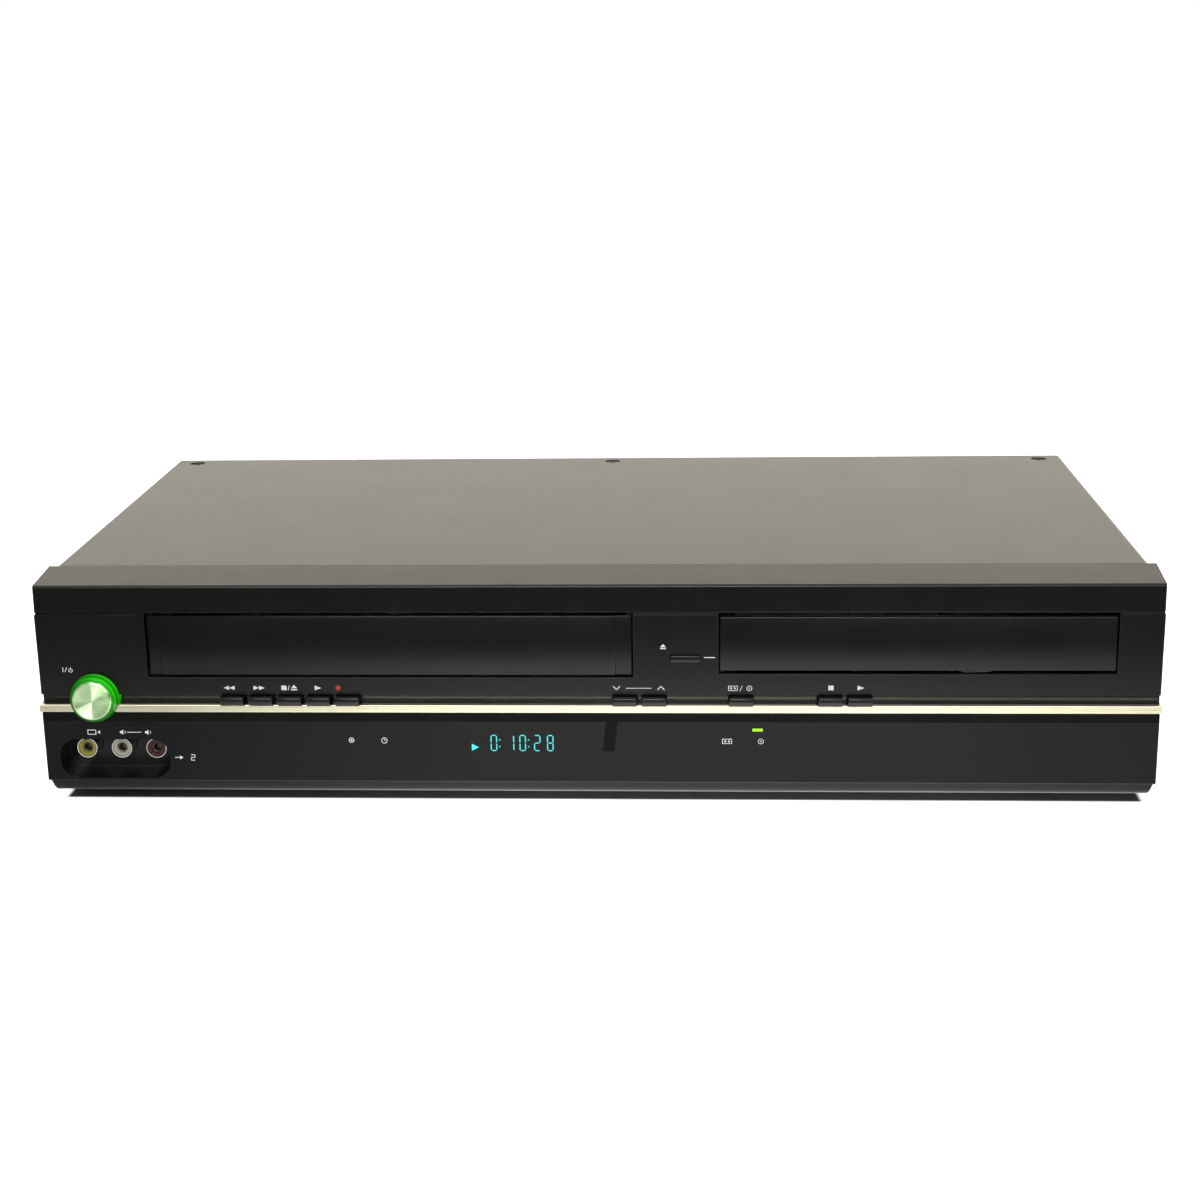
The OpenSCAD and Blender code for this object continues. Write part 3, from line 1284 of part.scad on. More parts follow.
module rf_connectors() color(ZINC) place() {
    difference() {
        block([rf_x - 12, rear_d - pan_t - 18, 12], [rf_x + 12, rear_d - pan_t, 62]);
        for (z = rf_zs) along_y([rf_x, rear_d - 6, z], 0.8, far);
    }
    for (z = rf_zs) difference() {
        union() {
            along_y([rf_x, rear_d - pan_t - eps, z], rf_r - neck_in, pan_t + 1);
            along_y([rf_x, rear_d + neck_gap, z], rf_r, case_d + rf_out - rear_d - neck_gap);
        }
        along_y([rf_x, rear_d - 6, z], 0.8, far);
    }
}

module cord_gland() color(BLACK) place() turned_y([cord_x, 0, cord_z], [
    [cord_r, rear_d - pan_t - 4], [gland_r, rear_d - pan_t - 4], [gland_r + 1.4, rear_d - pan_t - 1.5],
    [gland_r + 1.4, rear_d - pan_t], [gland_r, rear_d - pan_t], [gland_r, rear_d],
    [gland_r + 2.5, rear_d], [gland_r + 2.5, rear_d + 1.6], [gland_r + 1.7, rear_d + 2.4],
    [cord_r, rear_d + 2.4]]);

top_cover();
case_screws();
chassis_base();
rear_panel();
feet();
front_panel();
window_lens();
trim_strip();
power_ring();
power_button();
rewind_button();
fast_forward_button();
stop_eject_button();
play_button();
record_button();
tracking_down_button();
tracking_up_button();
source_button();
disc_stop_button();
disc_play_button();
open_close_button();
button_board();
display_module();
front_av_jacks();
cassette_door();
door_spring();
deck_chassis();
cassette_holder();
drum_base();
head_drum();
capstan();
pinch_arm();
pinch_roller();
supply_reel();
takeup_reel();
supply_guide();
takeup_guide();
tape_heads();
loading_motor();
loading_worm();
cam_gear();
loader_frame();
disc_tray();
tray_door();
drive_gear();
pulley_gear();
loader_belt();
tray_motor();
motor_pulley();
traverse_deck();
turntable();
pickup_sled();
guide_rods();
clamper_bridge();
clamper();
main_board();
power_board();
rear_jacks();
rf_connectors();
cord_gland();
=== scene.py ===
import json
import logging
import math
from collections import defaultdict
from dataclasses import dataclass, field
from enum import Enum
from typing import Sequence

import bmesh
import bpy
from mathutils import Matrix, Vector

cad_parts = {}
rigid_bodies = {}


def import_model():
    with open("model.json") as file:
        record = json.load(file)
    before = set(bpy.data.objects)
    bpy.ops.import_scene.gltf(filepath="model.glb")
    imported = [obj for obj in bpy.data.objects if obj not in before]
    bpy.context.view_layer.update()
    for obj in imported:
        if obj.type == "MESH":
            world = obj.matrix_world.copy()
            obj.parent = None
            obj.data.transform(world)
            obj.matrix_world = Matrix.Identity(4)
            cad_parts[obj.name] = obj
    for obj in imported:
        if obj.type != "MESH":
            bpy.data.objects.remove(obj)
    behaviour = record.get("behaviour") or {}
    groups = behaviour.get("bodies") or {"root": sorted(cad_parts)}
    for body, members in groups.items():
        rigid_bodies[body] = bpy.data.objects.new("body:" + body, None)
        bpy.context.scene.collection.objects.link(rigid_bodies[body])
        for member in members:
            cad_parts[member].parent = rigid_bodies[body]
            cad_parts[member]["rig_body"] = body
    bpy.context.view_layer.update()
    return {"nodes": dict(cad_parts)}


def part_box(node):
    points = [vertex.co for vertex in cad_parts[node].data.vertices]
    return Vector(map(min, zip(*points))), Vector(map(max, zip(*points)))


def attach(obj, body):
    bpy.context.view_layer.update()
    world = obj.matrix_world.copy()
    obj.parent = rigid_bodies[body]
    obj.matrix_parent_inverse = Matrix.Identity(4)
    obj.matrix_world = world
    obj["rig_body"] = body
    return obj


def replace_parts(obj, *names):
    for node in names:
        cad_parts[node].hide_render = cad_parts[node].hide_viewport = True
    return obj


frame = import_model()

LOG = logging.getLogger("player")

Colour = tuple[float, float, float]
Pair = tuple[float, float]
Triple = tuple[float, float, float]

MM = 0.001
# The front's place and the height of the case's underside, in metres.
FRONT_Y = -0.121
FOOT_H = 0.0095
# Half the thickness of a printed mark and the widths of its thin lines, in millimetres.
INK = 0.03
HAIRLINE = 0.25
FRAME_LINE = 0.26
# How thick the border between two colours of one piece is, in metres.
SEAM = 0.0001
# The case's own millimetres (across, depth behind the front, height) to metres in the frame.
CASE = Matrix.Translation((0.0, FRONT_Y, FOOT_H)) @ Matrix.Scale(MM, 4)


# ---- finishes ----


class Grain(Enum):
    """How a surface's fine relief runs."""

    MOULDED = "moulded"
    PAINT = "paint"
    BRUSHED = "brushed"
    TURNED = "turned"
    SPANGLE = "spangle"
    CAST = "cast"
    SMOOTH = "smooth"


# Each noisy grain's octaves and its factors on the three axes.
GRAIN_NOISE: dict[Grain, tuple[float, Triple]] = {
    Grain.MOULDED: (1.0, (1.0, 1.0, 1.0)),
    Grain.PAINT: (0.0, (1.0, 1.0, 1.0)),
    Grain.BRUSHED: (2.0, (0.012, 1.0, 1.0)),
    Grain.TURNED: (1.0, (1.0, 1.0, 0.02)),
    Grain.CAST: (4.0, (1.0, 1.0, 1.0)),
}


class Wiring:
    """A material's node tree with short words for adding and joining its nodes."""

    def __init__(self, name: str) -> None:
        """Starts an empty node tree.

        Args:
            name: The material's name.
        """
        self.material = bpy.data.materials.new(name)
        self.material.use_nodes = True
        self.tree = self.material.node_tree
        self.tree.nodes.clear()
        self.place = self.add("ShaderNodeTexCoord").outputs["Object"]

    def add(self, kind: str, inputs: dict | None = None, **settings: object) -> bpy.types.Node:
        """Adds a node.

        Args:
            kind: Blender's type name of the node.
            inputs: Values or other nodes' outputs, by socket name or number.
            settings: The node's own properties.

        Returns:
            The new node.
        """
        node = self.tree.nodes.new(kind)
        for key, value in settings.items():
            setattr(node, key, value)
        for key, value in (inputs or {}).items():
            if isinstance(value, bpy.types.NodeSocket):
                self.tree.links.new(value, node.inputs[key])
            else:
                node.inputs[key].default_value = value
        return node

    def noise(self, scale: float, detail: float = 2.0,
              stretch: Triple = (1.0, 1.0, 1.0)) -> bpy.types.NodeSocket:
        """A noise between 0 and 1.

        Args:
            scale: Patches per metre.
            detail: Octaves of finer noise.
            stretch: Factors on the three axes.

        Returns:
            The noise's output.
        """
        mapped = self.add("ShaderNodeMapping", {"Vector": self.place, "Scale": stretch})
        return self.add("ShaderNodeTexNoise", {
            "Vector": mapped.outputs[0], "Scale": scale, "Detail": detail}).outputs["Fac"]

    def axis(self, name: str) -> bpy.types.NodeSocket:
        """The object coordinate X, Y or Z."""
        return self.add("ShaderNodeSeparateXYZ", {0: self.place}).outputs[name]

    def span(self, value: bpy.types.NodeSocket, source: Pair, target: Pair) -> bpy.types.NodeSocket:
        """Maps a value from one range to another, held at the ends.

        Args:
            value: The value to map.
            source: The range it comes in.
            target: The range it leaves in.

        Returns:
            The mapped value's output.
        """
        return self.add("ShaderNodeMapRange", {
            "Value": value, "From Min": source[0], "From Max": source[1],
            "To Min": target[0], "To Max": target[1]}).outputs[0]

    def maths(self, operation: str, a: object, b: object = 0.0) -> bpy.types.NodeSocket:
        """One operation on two numbers or outputs."""
        return self.add("ShaderNodeMath", {0: a, 1: b}, operation=operation).outputs[0]

    def mixed(self, share: object, low: object, high: object) -> bpy.types.NodeSocket:
        """A colour between two colours.

        Args:
            share: How much of the second colour.
            low: The first colour or output.
            high: The second colour or output.

        Returns:
            The colour's output.
        """
        values = [v if isinstance(v, bpy.types.NodeSocket) else (*v, 1.0) for v in (low, high)]
        return self.add("ShaderNodeMix", {0: share, 6: values[0], 7: values[1]},
                        data_type="RGBA").outputs[2]

    def rounded(self, radius: float) -> bpy.types.NodeSocket:
        """A normal that rounds the edges of a mesh in its shading."""
        return self.add("ShaderNodeBevel", {"Radius": radius}, samples=6).outputs["Normal"]

    def bump(self, height: bpy.types.NodeSocket, depth: float,
             base: bpy.types.NodeSocket | None = None) -> bpy.types.NodeSocket:
        """A normal from a height.

        Args:
            height: The height between 0 and 1.
            depth: What a height of 1 stands for, in metres.
            base: The normal to start from, or None for the mesh's own.

        Returns:
            The normal's output.
        """
        sockets = {"Height": height, "Distance": depth}
        if base is not None:
            sockets["Normal"] = base
        return self.add("ShaderNodeBump", sockets).outputs["Normal"]

    def finish(self, sockets: dict) -> bpy.types.Material:
        """Ends the tree with the surface's shader.

        Args:
            sockets: The shader's inputs by name.

        Returns:
            The finished material.
        """
        shader = self.add("ShaderNodeBsdfPrincipled", sockets)
        self.add("ShaderNodeOutputMaterial", {"Surface": shader.outputs[0]})
        return self.material


@dataclass(frozen=True)
class Finish:
    """A solid surface's finish."""

    name: str
    colour: Colour
    roughness: float
    grain: Grain = Grain.MOULDED
    metallic: float = 0.0
    ior: float = 1.45
    wander: float = 0.12
    patch: float = 45.0
    rough_patch: float = 2.3
    fine: float = 2600.0
    relief: float = 0.00001
    uneven: float = 0.05
    edge: float = 0.0

    def height(self, wiring: Wiring) -> bpy.types.NodeSocket | None:
        """The relief of the finish's grain.

        Args:
            wiring: The material under construction.

        Returns:
            A height between 0 and 1, or None on a smooth surface.
        """
        if self.grain is Grain.SPANGLE:
            return wiring.add("ShaderNodeTexVoronoi", {
                "Vector": wiring.place, "Scale": self.fine}).outputs["Distance"]
        if self.grain is Grain.SMOOTH:
            return None
        detail, stretch = GRAIN_NOISE[self.grain]
        return wiring.noise(self.fine, detail, stretch)

    def rough_range(self) -> Pair:
        """The lowest and the highest roughness."""
        return self.roughness - self.uneven, self.roughness + self.uneven

    def tone(self, wiring: Wiring) -> bpy.types.NodeSocket:
        """The colour, wandering a little over the surface.

        Args:
            wiring: The material under construction.

        Returns:
            The colour's output.
        """
        share = wiring.span(wiring.noise(self.patch, 3.0), (0.3, 0.7), (0.0, 1.0))
        dark = tuple(c * (1.0 - self.wander) for c in self.colour)
        light = tuple(min(1.0, c * (1.0 + self.wander)) for c in self.colour)
        return wiring.mixed(share, dark, light)

    def sockets(self, wiring: Wiring) -> dict:
        """The shader's inputs.

        Args:
            wiring: The material under construction.

        Returns:
            Values and outputs by socket name.
        """
        rough = wiring.span(wiring.noise(self.patch * self.rough_patch, 4.0), (0.25, 0.75),
                            self.rough_range())
        found = {"Base Color": self.tone(wiring), "Roughness": rough,
                 "Metallic": self.metallic, "IOR": self.ior}
        height = self.height(wiring)
        base = wiring.rounded(self.edge) if self.edge else None
        if height is not None:
            found["Normal"] = wiring.bump(height, self.relief, base)
        elif base is not None:
            found["Normal"] = base
        return found

    def material(self) -> bpy.types.Material:
        """The finish as a material."""
        wiring = Wiring(self.name)
        return wiring.finish(self.sockets(wiring))


@dataclass(frozen=True)
class TurnedCap(Finish):
    """A faced metal cap whose marks run in circles, along its own map."""

    stretch: float = 1.0
    across_marks: float = 0.25
    marks: Triple = (0.6, 5200.0, 1.0)

    def sockets(self, wiring: Wiring) -> dict:
        """The shader's inputs, with the sheen drawn out across the marks.

        Args:
            wiring: The material under construction.

        Returns:
            Values and outputs by socket name.
        """
        turns = wiring.add("ShaderNodeUVMap", uv_map="turn").outputs[0]
        run = wiring.add("ShaderNodeMapping", {"Vector": turns, "Scale": self.marks})
        marks = wiring.add("ShaderNodeTexNoise", {
            "Vector": run.outputs[0], "Scale": 1.0, "Detail": 2.0}).outputs["Fac"]
        tangent = wiring.add("ShaderNodeTangent", direction_type="UV_MAP", uv_map="turn")
        return {"Base Color": self.tone(wiring), "Metallic": self.metallic,
                "Roughness": wiring.span(marks, (0.3, 0.7), self.rough_range()),
                "Anisotropic": self.stretch, "Anisotropic Rotation": self.across_marks,
                "Tangent": tangent.outputs[0],
                "Normal": wiring.bump(marks, self.relief)}


@dataclass(frozen=True)
class Lit(Finish):
    """A lit surface: a lamp, a lit segment or a lit ring."""

    glow: Colour = (0.0, 1.0, 0.0)
    strength: float = 1.0
    spots: float = 500.0
    dimmest: float = 0.86

    def sockets(self, wiring: Wiring) -> dict:
        """The shader's inputs, with the light a little uneven.

        Args:
            wiring: The material under construction.

        Returns:
            Values and outputs by socket name.
        """
        found = super().sockets(wiring)
        share = wiring.span(wiring.noise(self.spots, 2.0), (0.3, 0.7), (0.0, 1.0))
        dim = tuple(self.dimmest * c for c in self.glow)
        found["Emission Color"] = wiring.mixed(share, dim, self.glow)
        found["Emission Strength"] = self.strength
        return found


@dataclass(frozen=True)
class LitRing(Finish):
    """A clear ring lit from a lamp at one side, brightest there and in its inner wall."""

    glow: Colour = (0.0, 1.0, 0.0)
    centre: Pair = (0.0, 0.0)
    lamp: Pair = (0.5, 0.86)
    strength: float = 1.0
    rings: float = 7200.0
    reach: Pair = (-0.0065, 0.0100)
    falloff: float = 2.2
    darkest_ring: float = 0.25
    least: float = 0.10

    def sockets(self, wiring: Wiring) -> dict:
        """The shader's inputs, with the light falling off away from the lamp.

        Args:
            wiring: The material under construction.

        Returns:
            Values and outputs by socket name.
        """
        found = super().sockets(wiring)
        away = [wiring.maths("SUBTRACT", wiring.axis(axis), place)
                for axis, place in zip("XZ", self.centre)]
        across, up = (wiring.maths("MULTIPLY", a, part) for a, part in zip(away, self.lamp))
        near = wiring.span(wiring.maths("ADD", across, up), self.reach, (0.0, 1.0))
        shaped = wiring.maths("POWER", near, self.falloff)
        squares = [wiring.maths("MULTIPLY", a, a) for a in away]
        radius = wiring.maths("SQRT", wiring.maths("ADD", *squares))
        waves = wiring.maths("SINE", wiring.maths("MULTIPLY", radius, self.rings))
        level = wiring.maths("MULTIPLY", wiring.span(shaped, (0.0, 1.0), (self.least, 1.0)),
                             wiring.span(waves, (-1.0, 1.0), (self.darkest_ring, 1.0)))
        found["Emission Color"] = wiring.mixed(level, (0.0, 0.0, 0.0), self.glow)
        found["Emission Strength"] = self.strength
        return found


@dataclass(frozen=True)
class Board(Finish):
    """A circuit board: lacquer over traces, with another colour for what stands on it."""

    axis: str = "Z"
    surface: float = 0.0
    above: bool = True
    parts: Colour = (0.03, 0.03, 0.035)
    trace: Colour = (0.08, 0.30, 0.12)
    cells: float = 260.0
    gap: float = 0.08
    parts_patch: float = 70.0

    def sockets(self, wiring: Wiring) -> dict:
        """The shader's inputs, with traces and the parts' own colour.

        Args:
            wiring: The material under construction.

        Returns:
            Values and outputs by socket name.
        """
        found = super().sockets(wiring)
        cells = wiring.add("ShaderNodeTexBrick", {
            "Vector": wiring.place, "Scale": self.cells, "Mortar Size": self.gap,
            "Color1": (0, 0, 0, 1), "Color2": (0.25, 0.25, 0.25, 1), "Mortar": (1, 1, 1, 1)})
        lanes = wiring.mixed(cells.outputs["Color"], self.colour, self.trace)
        toned = wiring.mixed(0.5, lanes, found["Base Color"])
        raised = wiring.span(wiring.axis(self.axis), (self.surface, self.surface + SEAM),
                             (0.0, 1.0) if self.above else (1.0, 0.0))
        light = tuple(3 * c for c in self.parts)
        tint = wiring.mixed(wiring.noise(self.parts_patch, 0.0), self.parts, light)
        found["Base Color"] = wiring.mixed(raised, toned, tint)
        return found


@dataclass(frozen=True)
class TwoTone(Finish):
    """A moulded piece with a second colour on one side of a plane."""

    axis: str = "Y"
    plane: float = 0.0
    second: Colour = (0.1, 0.1, 0.1)

    def sockets(self, wiring: Wiring) -> dict:
        """The shader's inputs, with the second colour past the plane.

        Args:
            wiring: The material under construction.

        Returns:
            Values and outputs by socket name.
        """
        found = super().sockets(wiring)
        past = wiring.span(wiring.axis(self.axis), (self.plane, self.plane + SEAM), (0.0, 1.0))
        found["Base Color"] = wiring.mixed(past, found["Base Color"], self.second)
        return found


# Where the main board's top, the key board's front and the power button's axis lie, in metres.
BOARD_TOP = FOOT_H + 9.25 * MM
KEYBOARD_FACE = FRONT_Y + 12.9 * MM
POWER_AT = (-0.196, FOOT_H + 40.0 * MM)

SLOT_FINISHES: dict[str, Finish] = {f.name: f for f in (
    Finish("cover_black", (0.036, 0.034, 0.032), 0.27, Grain.PAINT, ior=1.65, fine=60.0,
           relief=0.000008, wander=0.03, patch=14.0, uneven=0.012),
    Finish("panel_black", (0.0040, 0.0040, 0.0036), 0.26, ior=1.35, fine=3000.0,
           relief=0.000001, patch=30.0, uneven=0.02, edge=0.0004),
    Finish("window_smoke", (0.0030, 0.0030, 0.0035), 0.05, Grain.SMOOTH, ior=1.24,
           patch=16.0, uneven=0.015, edge=0.0003),
    Finish("strip_champagne", (0.93, 0.89, 0.64), 0.20, Grain.BRUSHED, metallic=1.0,
           wander=0.03, fine=2600.0, relief=0.000008, uneven=0.04),
    Finish("button_black", (0.0060, 0.0055, 0.0052), 0.22, ior=1.45, fine=2800.0,
           relief=0.000003),
    Finish("zinc_steel", (0.52, 0.53, 0.52), 0.38, Grain.SPANGLE, metallic=1.0, fine=140.0,
           relief=0.00003, wander=0.2, patch=90.0, uneven=0.1),
    Finish("dark_screw", (0.030, 0.030, 0.032), 0.36, Grain.CAST, metallic=0.7, fine=1800.0),
    Finish("rubber_black", (0.012, 0.012, 0.012), 0.72, Grain.CAST, fine=1500.0,
           relief=0.00003),
    Board("board_green", (0.006, 0.075, 0.022), 0.38, surface=BOARD_TOP),
    Board("board_tan", (0.20, 0.105, 0.03), 0.5, surface=BOARD_TOP,
          trace=(0.32, 0.19, 0.07), parts=(0.05, 0.045, 0.04)),
    TwoTone("display_glass", (0.02, 0.10, 0.04), 0.12, Grain.SMOOTH,
            axis="Y", plane=FRONT_Y + 10.4 * MM, second=(0.02, 0.11, 0.05)),
    Finish("socket_mixed", (0.012, 0.012, 0.012), 0.4),
    Finish("spring_steel", (0.50, 0.50, 0.52), 0.24, Grain.BRUSHED, metallic=1.0),
    Finish("cast_alloy", (0.60, 0.62, 0.64), 0.3, Grain.CAST, metallic=1.0, fine=1200.0,
           relief=0.00001),
    Finish("steel_bright", (0.55, 0.56, 0.58), 0.22, Grain.TURNED, metallic=1.0),
    Finish("gear_natural", (0.72, 0.70, 0.62), 0.42, fine=1800.0),
    Finish("mech_grey", (0.085, 0.085, 0.09), 0.42),
    Finish("belt_rubber", (0.010, 0.010, 0.010), 0.6, Grain.CAST, relief=0.00002),
    Finish("brass", (0.62, 0.42, 0.14), 0.28, Grain.TURNED, metallic=1.0),
    Finish("nickel", (0.66, 0.65, 0.61), 0.22, Grain.CAST, metallic=1.0, fine=900.0,
           relief=0.000006),
)}
KEYBOARD = Board("keyboard_green", (0.006, 0.075, 0.022), 0.38, axis="Y",
                 surface=KEYBOARD_FACE, above=False)
# Painted light: the cap's pale green stands for the lit ring's green glow on it, painted into the
# colour of its pale metal.
CAP = TurnedCap("turned_cap", (0.68, 0.97, 0.53), 0.38, metallic=0.9, wander=0.02,
                relief=0.000004, uneven=0.03)
RING = LitRing("lit_ring", (0.004, 0.05, 0.004), 0.12, Grain.SMOOTH, ior=1.49,
               glow=(0.02, 0.78, 0.0), centre=POWER_AT, lamp=(0.62, 0.78), strength=1.0)
SEGMENTS = Lit("lit_segments", (0.01, 0.08, 0.08), 0.3, Grain.SMOOTH,
               glow=(0.06, 0.88, 0.86), strength=1.0)
LAMP_GLOW = Lit("lit_lamp", (0.05, 0.1, 0.0), 0.3, Grain.SMOOTH, glow=(0.42, 0.86, 0.0), strength=1.0)
INK_WHITE = Finish("ink_white", (0.50, 0.52, 0.53), 0.5, wander=0.08, patch=900.0)
INK_RED = Finish("ink_red", (0.26, 0.022, 0.028), 0.5, wander=0.1, patch=900.0)
# Painted shade: a dark, dull band laid along the window's top under the strip, and a slanted dark
# bar.
PAINTED_WINDOW_SHADE = Finish("window_painted_shade", (0.0040, 0.0040, 0.0036), 0.4, ior=1.15, fine=3000.0)
SHELL = Finish("socket_shell", (0.72, 0.71, 0.68), 0.2, Grain.CAST, metallic=1.0, fine=700.0,
               relief=0.000008)
CONTACT = Finish("socket_contact", (0.10, 0.09, 0.07), 0.35, Grain.CAST, metallic=1.0)


class Insert(Enum):
    """The colours of the sockets' inserts. The yellow, white and red ones are darkened below their
    own colours by painted shade, as in the front's recess.
    """

    YELLOW = (0.16, 0.135, 0.02)
    WHITE = (0.23, 0.215, 0.18)
    RED = (0.035, 0.003, 0.005)
    GREEN = (0.01, 0.22, 0.04)
    BLUE = (0.01, 0.05, 0.36)
    ORANGE = (0.60, 0.17, 0.01)

    def finish(self) -> Finish:
        """The insert's plastic."""
        return Finish("insert_" + self.name.lower(), self.value, 0.4, fine=2400.0)


class Palette:
    """Makes each finish's material once."""

    def __init__(self) -> None:
        """Starts with no material made."""
        self.made: dict[str, bpy.types.Material] = {}

    def get(self, finish: Finish) -> bpy.types.Material:
        """The finish's material.

        Args:
            finish: The finish to look up or make.

        Returns:
            Its material.
        """
        if finish.name not in self.made:
            self.made[finish.name] = finish.material()
        return self.made[finish.name]


PALETTE = Palette()


# ---- shapes ----


def show(name: str, data: bpy.types.ID) -> bpy.types.Object:
    """Adds an object to the scene.

    Args:
        name: Its name.
        data: Its mesh, its lamp or its camera.

    Returns:
        The object.
    """
    made = bpy.data.objects.new(name, data)
    bpy.context.scene.collection.objects.link(made)
    return made


def show_mesh(name: str, shape: bmesh.types.BMesh,
              material: bpy.types.Material) -> bpy.types.Object:
    """Adds an object made from a shape, which is used up.

    Args:
        name: Its name.
        shape: The shape.
        material: Its material.

    Returns:
        The object.
    """
    data = bpy.data.meshes.new(name)
    shape.to_mesh(data)
    shape.free()
    data.materials.append(material)
    return show(name, data)


UP_TO = {"X": Matrix.Rotation(math.radians(90), 4, "Y"),
         "Y": Matrix.Rotation(math.radians(-90), 4, "X"),
         "Z": Matrix.Identity(4)}


class Solid:
    """Closed shapes in the making, in the case's millimetres: across, depth and height."""

    def __init__(self) -> None:
        """Starts with nothing."""
        self.mesh = bmesh.new()

    def block(self, low: Triple, high: Triple, rounding: float, segments: int = 2) -> "Solid":
        """Adds a block.

        Args:
            low: Its lowest corner.
            high: Its highest corner.
            rounding: The width of the rounding on its edges.
            segments: Facets of the rounding.

        Returns:
            This solid.
        """
        corners = bmesh.ops.create_cube(self.mesh, size=1.0)["verts"]
        bmesh.ops.scale(self.mesh, verts=corners, vec=[h - l for l, h in zip(low, high)])
        bmesh.ops.translate(self.mesh, verts=corners,
                            vec=[(l + h) / 2 for l, h in zip(low, high)])
        bmesh.ops.bevel(self.mesh, geom=list({e for v in corners for e in v.link_edges}),
                        offset=rounding, offset_type="OFFSET", segments=segments, profile=0.5,
                        affect="EDGES", material=-1, clamp_overlap=True)
        return self

    def turned(self, outline: Sequence[Pair], at: Triple, facing: float = 1.0,
               steps: int = 64, axis: str = "Y") -> "Solid":
        """Adds a shape turned about a line.

        Args:
            outline: Pairs of radius and distance along the line. A first and a last radius of
                0 close the shape at its poles, and any other outline is closed on itself.
            at: The line's starting point.
            facing: 1 or -1, the way in which distances run.
            steps: Facets round the line.
            axis: "X", "Y" or "Z", the line's direction.

        Returns:
            This solid.
        """
        start = set(self.mesh.verts)
        points = [self.mesh.verts.new((r, 0.0, a * facing)) for r, a in outline]
        edges = [self.mesh.edges.new(pair) for pair in zip(points, points[1:])]
        if outline[0][0] > 0:
            edges.append(self.mesh.edges.new((points[-1], points[0])))
        bmesh.ops.spin(self.mesh, geom=points + edges, cent=(0, 0, 0), axis=(0, 0, 1),
                       dvec=(0, 0, 0), angle=2 * math.pi, steps=steps, use_merge=True,
                       use_duplicate=False)
        fresh = [v for v in self.mesh.verts if v not in start]
        bmesh.ops.remove_doubles(self.mesh, verts=fresh, dist=0.0005)
        fresh = [v for v in self.mesh.verts if v not in start]
        bmesh.ops.transform(self.mesh, verts=fresh,
                            matrix=Matrix.Translation(at) @ UP_TO[axis])
        bmesh.ops.recalc_face_normals(
            self.mesh, faces=list({f for v in fresh for f in v.link_faces}))
        return self

    def prism(self, outline: Sequence[Pair], low: float, high: float,
              matrix: Matrix | None = None) -> "Solid":
        """Adds a prism: an outline across and up, carried in depth.

        Args:
            outline: Corners as pairs of across and height.
            low: The depth of its front.
            high: The depth of its back.
            matrix: A last move of the prism.

        Returns:
            This solid.
        """
        face = self.mesh.faces.new([self.mesh.verts.new((x, low, z)) for x, z in outline])
        grown = bmesh.ops.extrude_face_region(self.mesh, geom=[face])["geom"]
        moved = [g for g in grown if isinstance(g, bmesh.types.BMVert)]
        bmesh.ops.translate(self.mesh, verts=moved, vec=(0, high - low, 0))
        fresh = moved + list(face.verts)
        bmesh.ops.recalc_face_normals(
            self.mesh, faces=list({f for v in fresh for f in v.link_faces}))
        if matrix is not None:
            bmesh.ops.transform(self.mesh, verts=fresh, matrix=matrix)
        return self

    def plate(self, outline: Sequence[Pair], low: float, high: float) -> "Solid":
        """Adds an upright plate: an outline in depth and up, carried across.

        Args:
            outline: Corners as pairs of depth and height.
            low: Its left side.
            high: Its right side.

        Returns:
            This solid.
        """
        return self.prism(outline, -high, -low, Matrix.Rotation(math.radians(90), 4, "Z"))

    def piece(self, name: str, finish: Finish, body: str, slot: str | None = None,
              crease: float = 32.0) -> bpy.types.Object:
        """Ends the solid as a named piece that rides on a body.

        Args:
            name: The piece's name.
            finish: Its finish.
            body: The CAD body it rides on.
            slot: The record's material slot; not used.
            crease: The angle in degrees past which an edge stays sharp.

        Returns:
            The piece.
        """
        bmesh.ops.transform(self.mesh, verts=self.mesh.verts, matrix=CASE)
        made = show_mesh(name, self.mesh, PALETTE.get(finish))
        made.data.shade_smooth()
        made.data.set_sharp_from_angle(angle=math.radians(crease))
        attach(made, body)
        return made

    def stand_in(self, name: str, node: str, slot: str, finish: Finish | None = None,
                 crease: float = 32.0) -> bpy.types.Object:
        """Ends the solid as the piece that shows in place of a CAD node.

        Args:
            name: The piece's name.
            node: The CAD node.
            slot: The record's material slot.
            finish: Its finish, or None for the slot's own.
            crease: The angle in degrees past which an edge stays sharp.

        Returns:
            The piece.
        """
        finish = finish or SLOT_FINISHES[slot]
        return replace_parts(self.piece(name, finish, body_of(node), slot, crease), node)


def body_of(node: str) -> str:
    """The body that a CAD node rides on."""
    return frame["nodes"][node]["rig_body"]


def middle(node: str) -> Vector:
    """The middle of a CAD node's box, in the case's millimetres."""
    low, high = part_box(node)
    return CASE.inverted() @ ((low + high) / 2)


def box_of(node: str) -> tuple[Vector, Vector]:
    """A CAD node's lowest and highest corner, in the case's millimetres."""
    low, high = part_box(node)
    return CASE.inverted() @ low, CASE.inverted() @ high


@dataclass
class Face:
    """A flat front that marks are laid on, given by its depth at two heights."""

    low_z: float
    low_d: float
    high_z: float
    high_d: float

    def matrix(self) -> Matrix:
        """Leans what is drawn at depth 0 onto the face.

        Returns:
            The lean in the case's millimetres.
        """
        slope = (self.high_d - self.low_d) / (self.high_z - self.low_z)
        lean = Matrix.Identity(4)
        lean[1][2] = slope
        lean[1][3] = self.low_d - slope * self.low_z
        return lean


# The window under the strip, and the panel with the keys over it.
WINDOW = Face(5.9, -0.7, 33.8, -1.3)
MIDDLE = Face(41.2, 0.3, 73.9, -0.8)


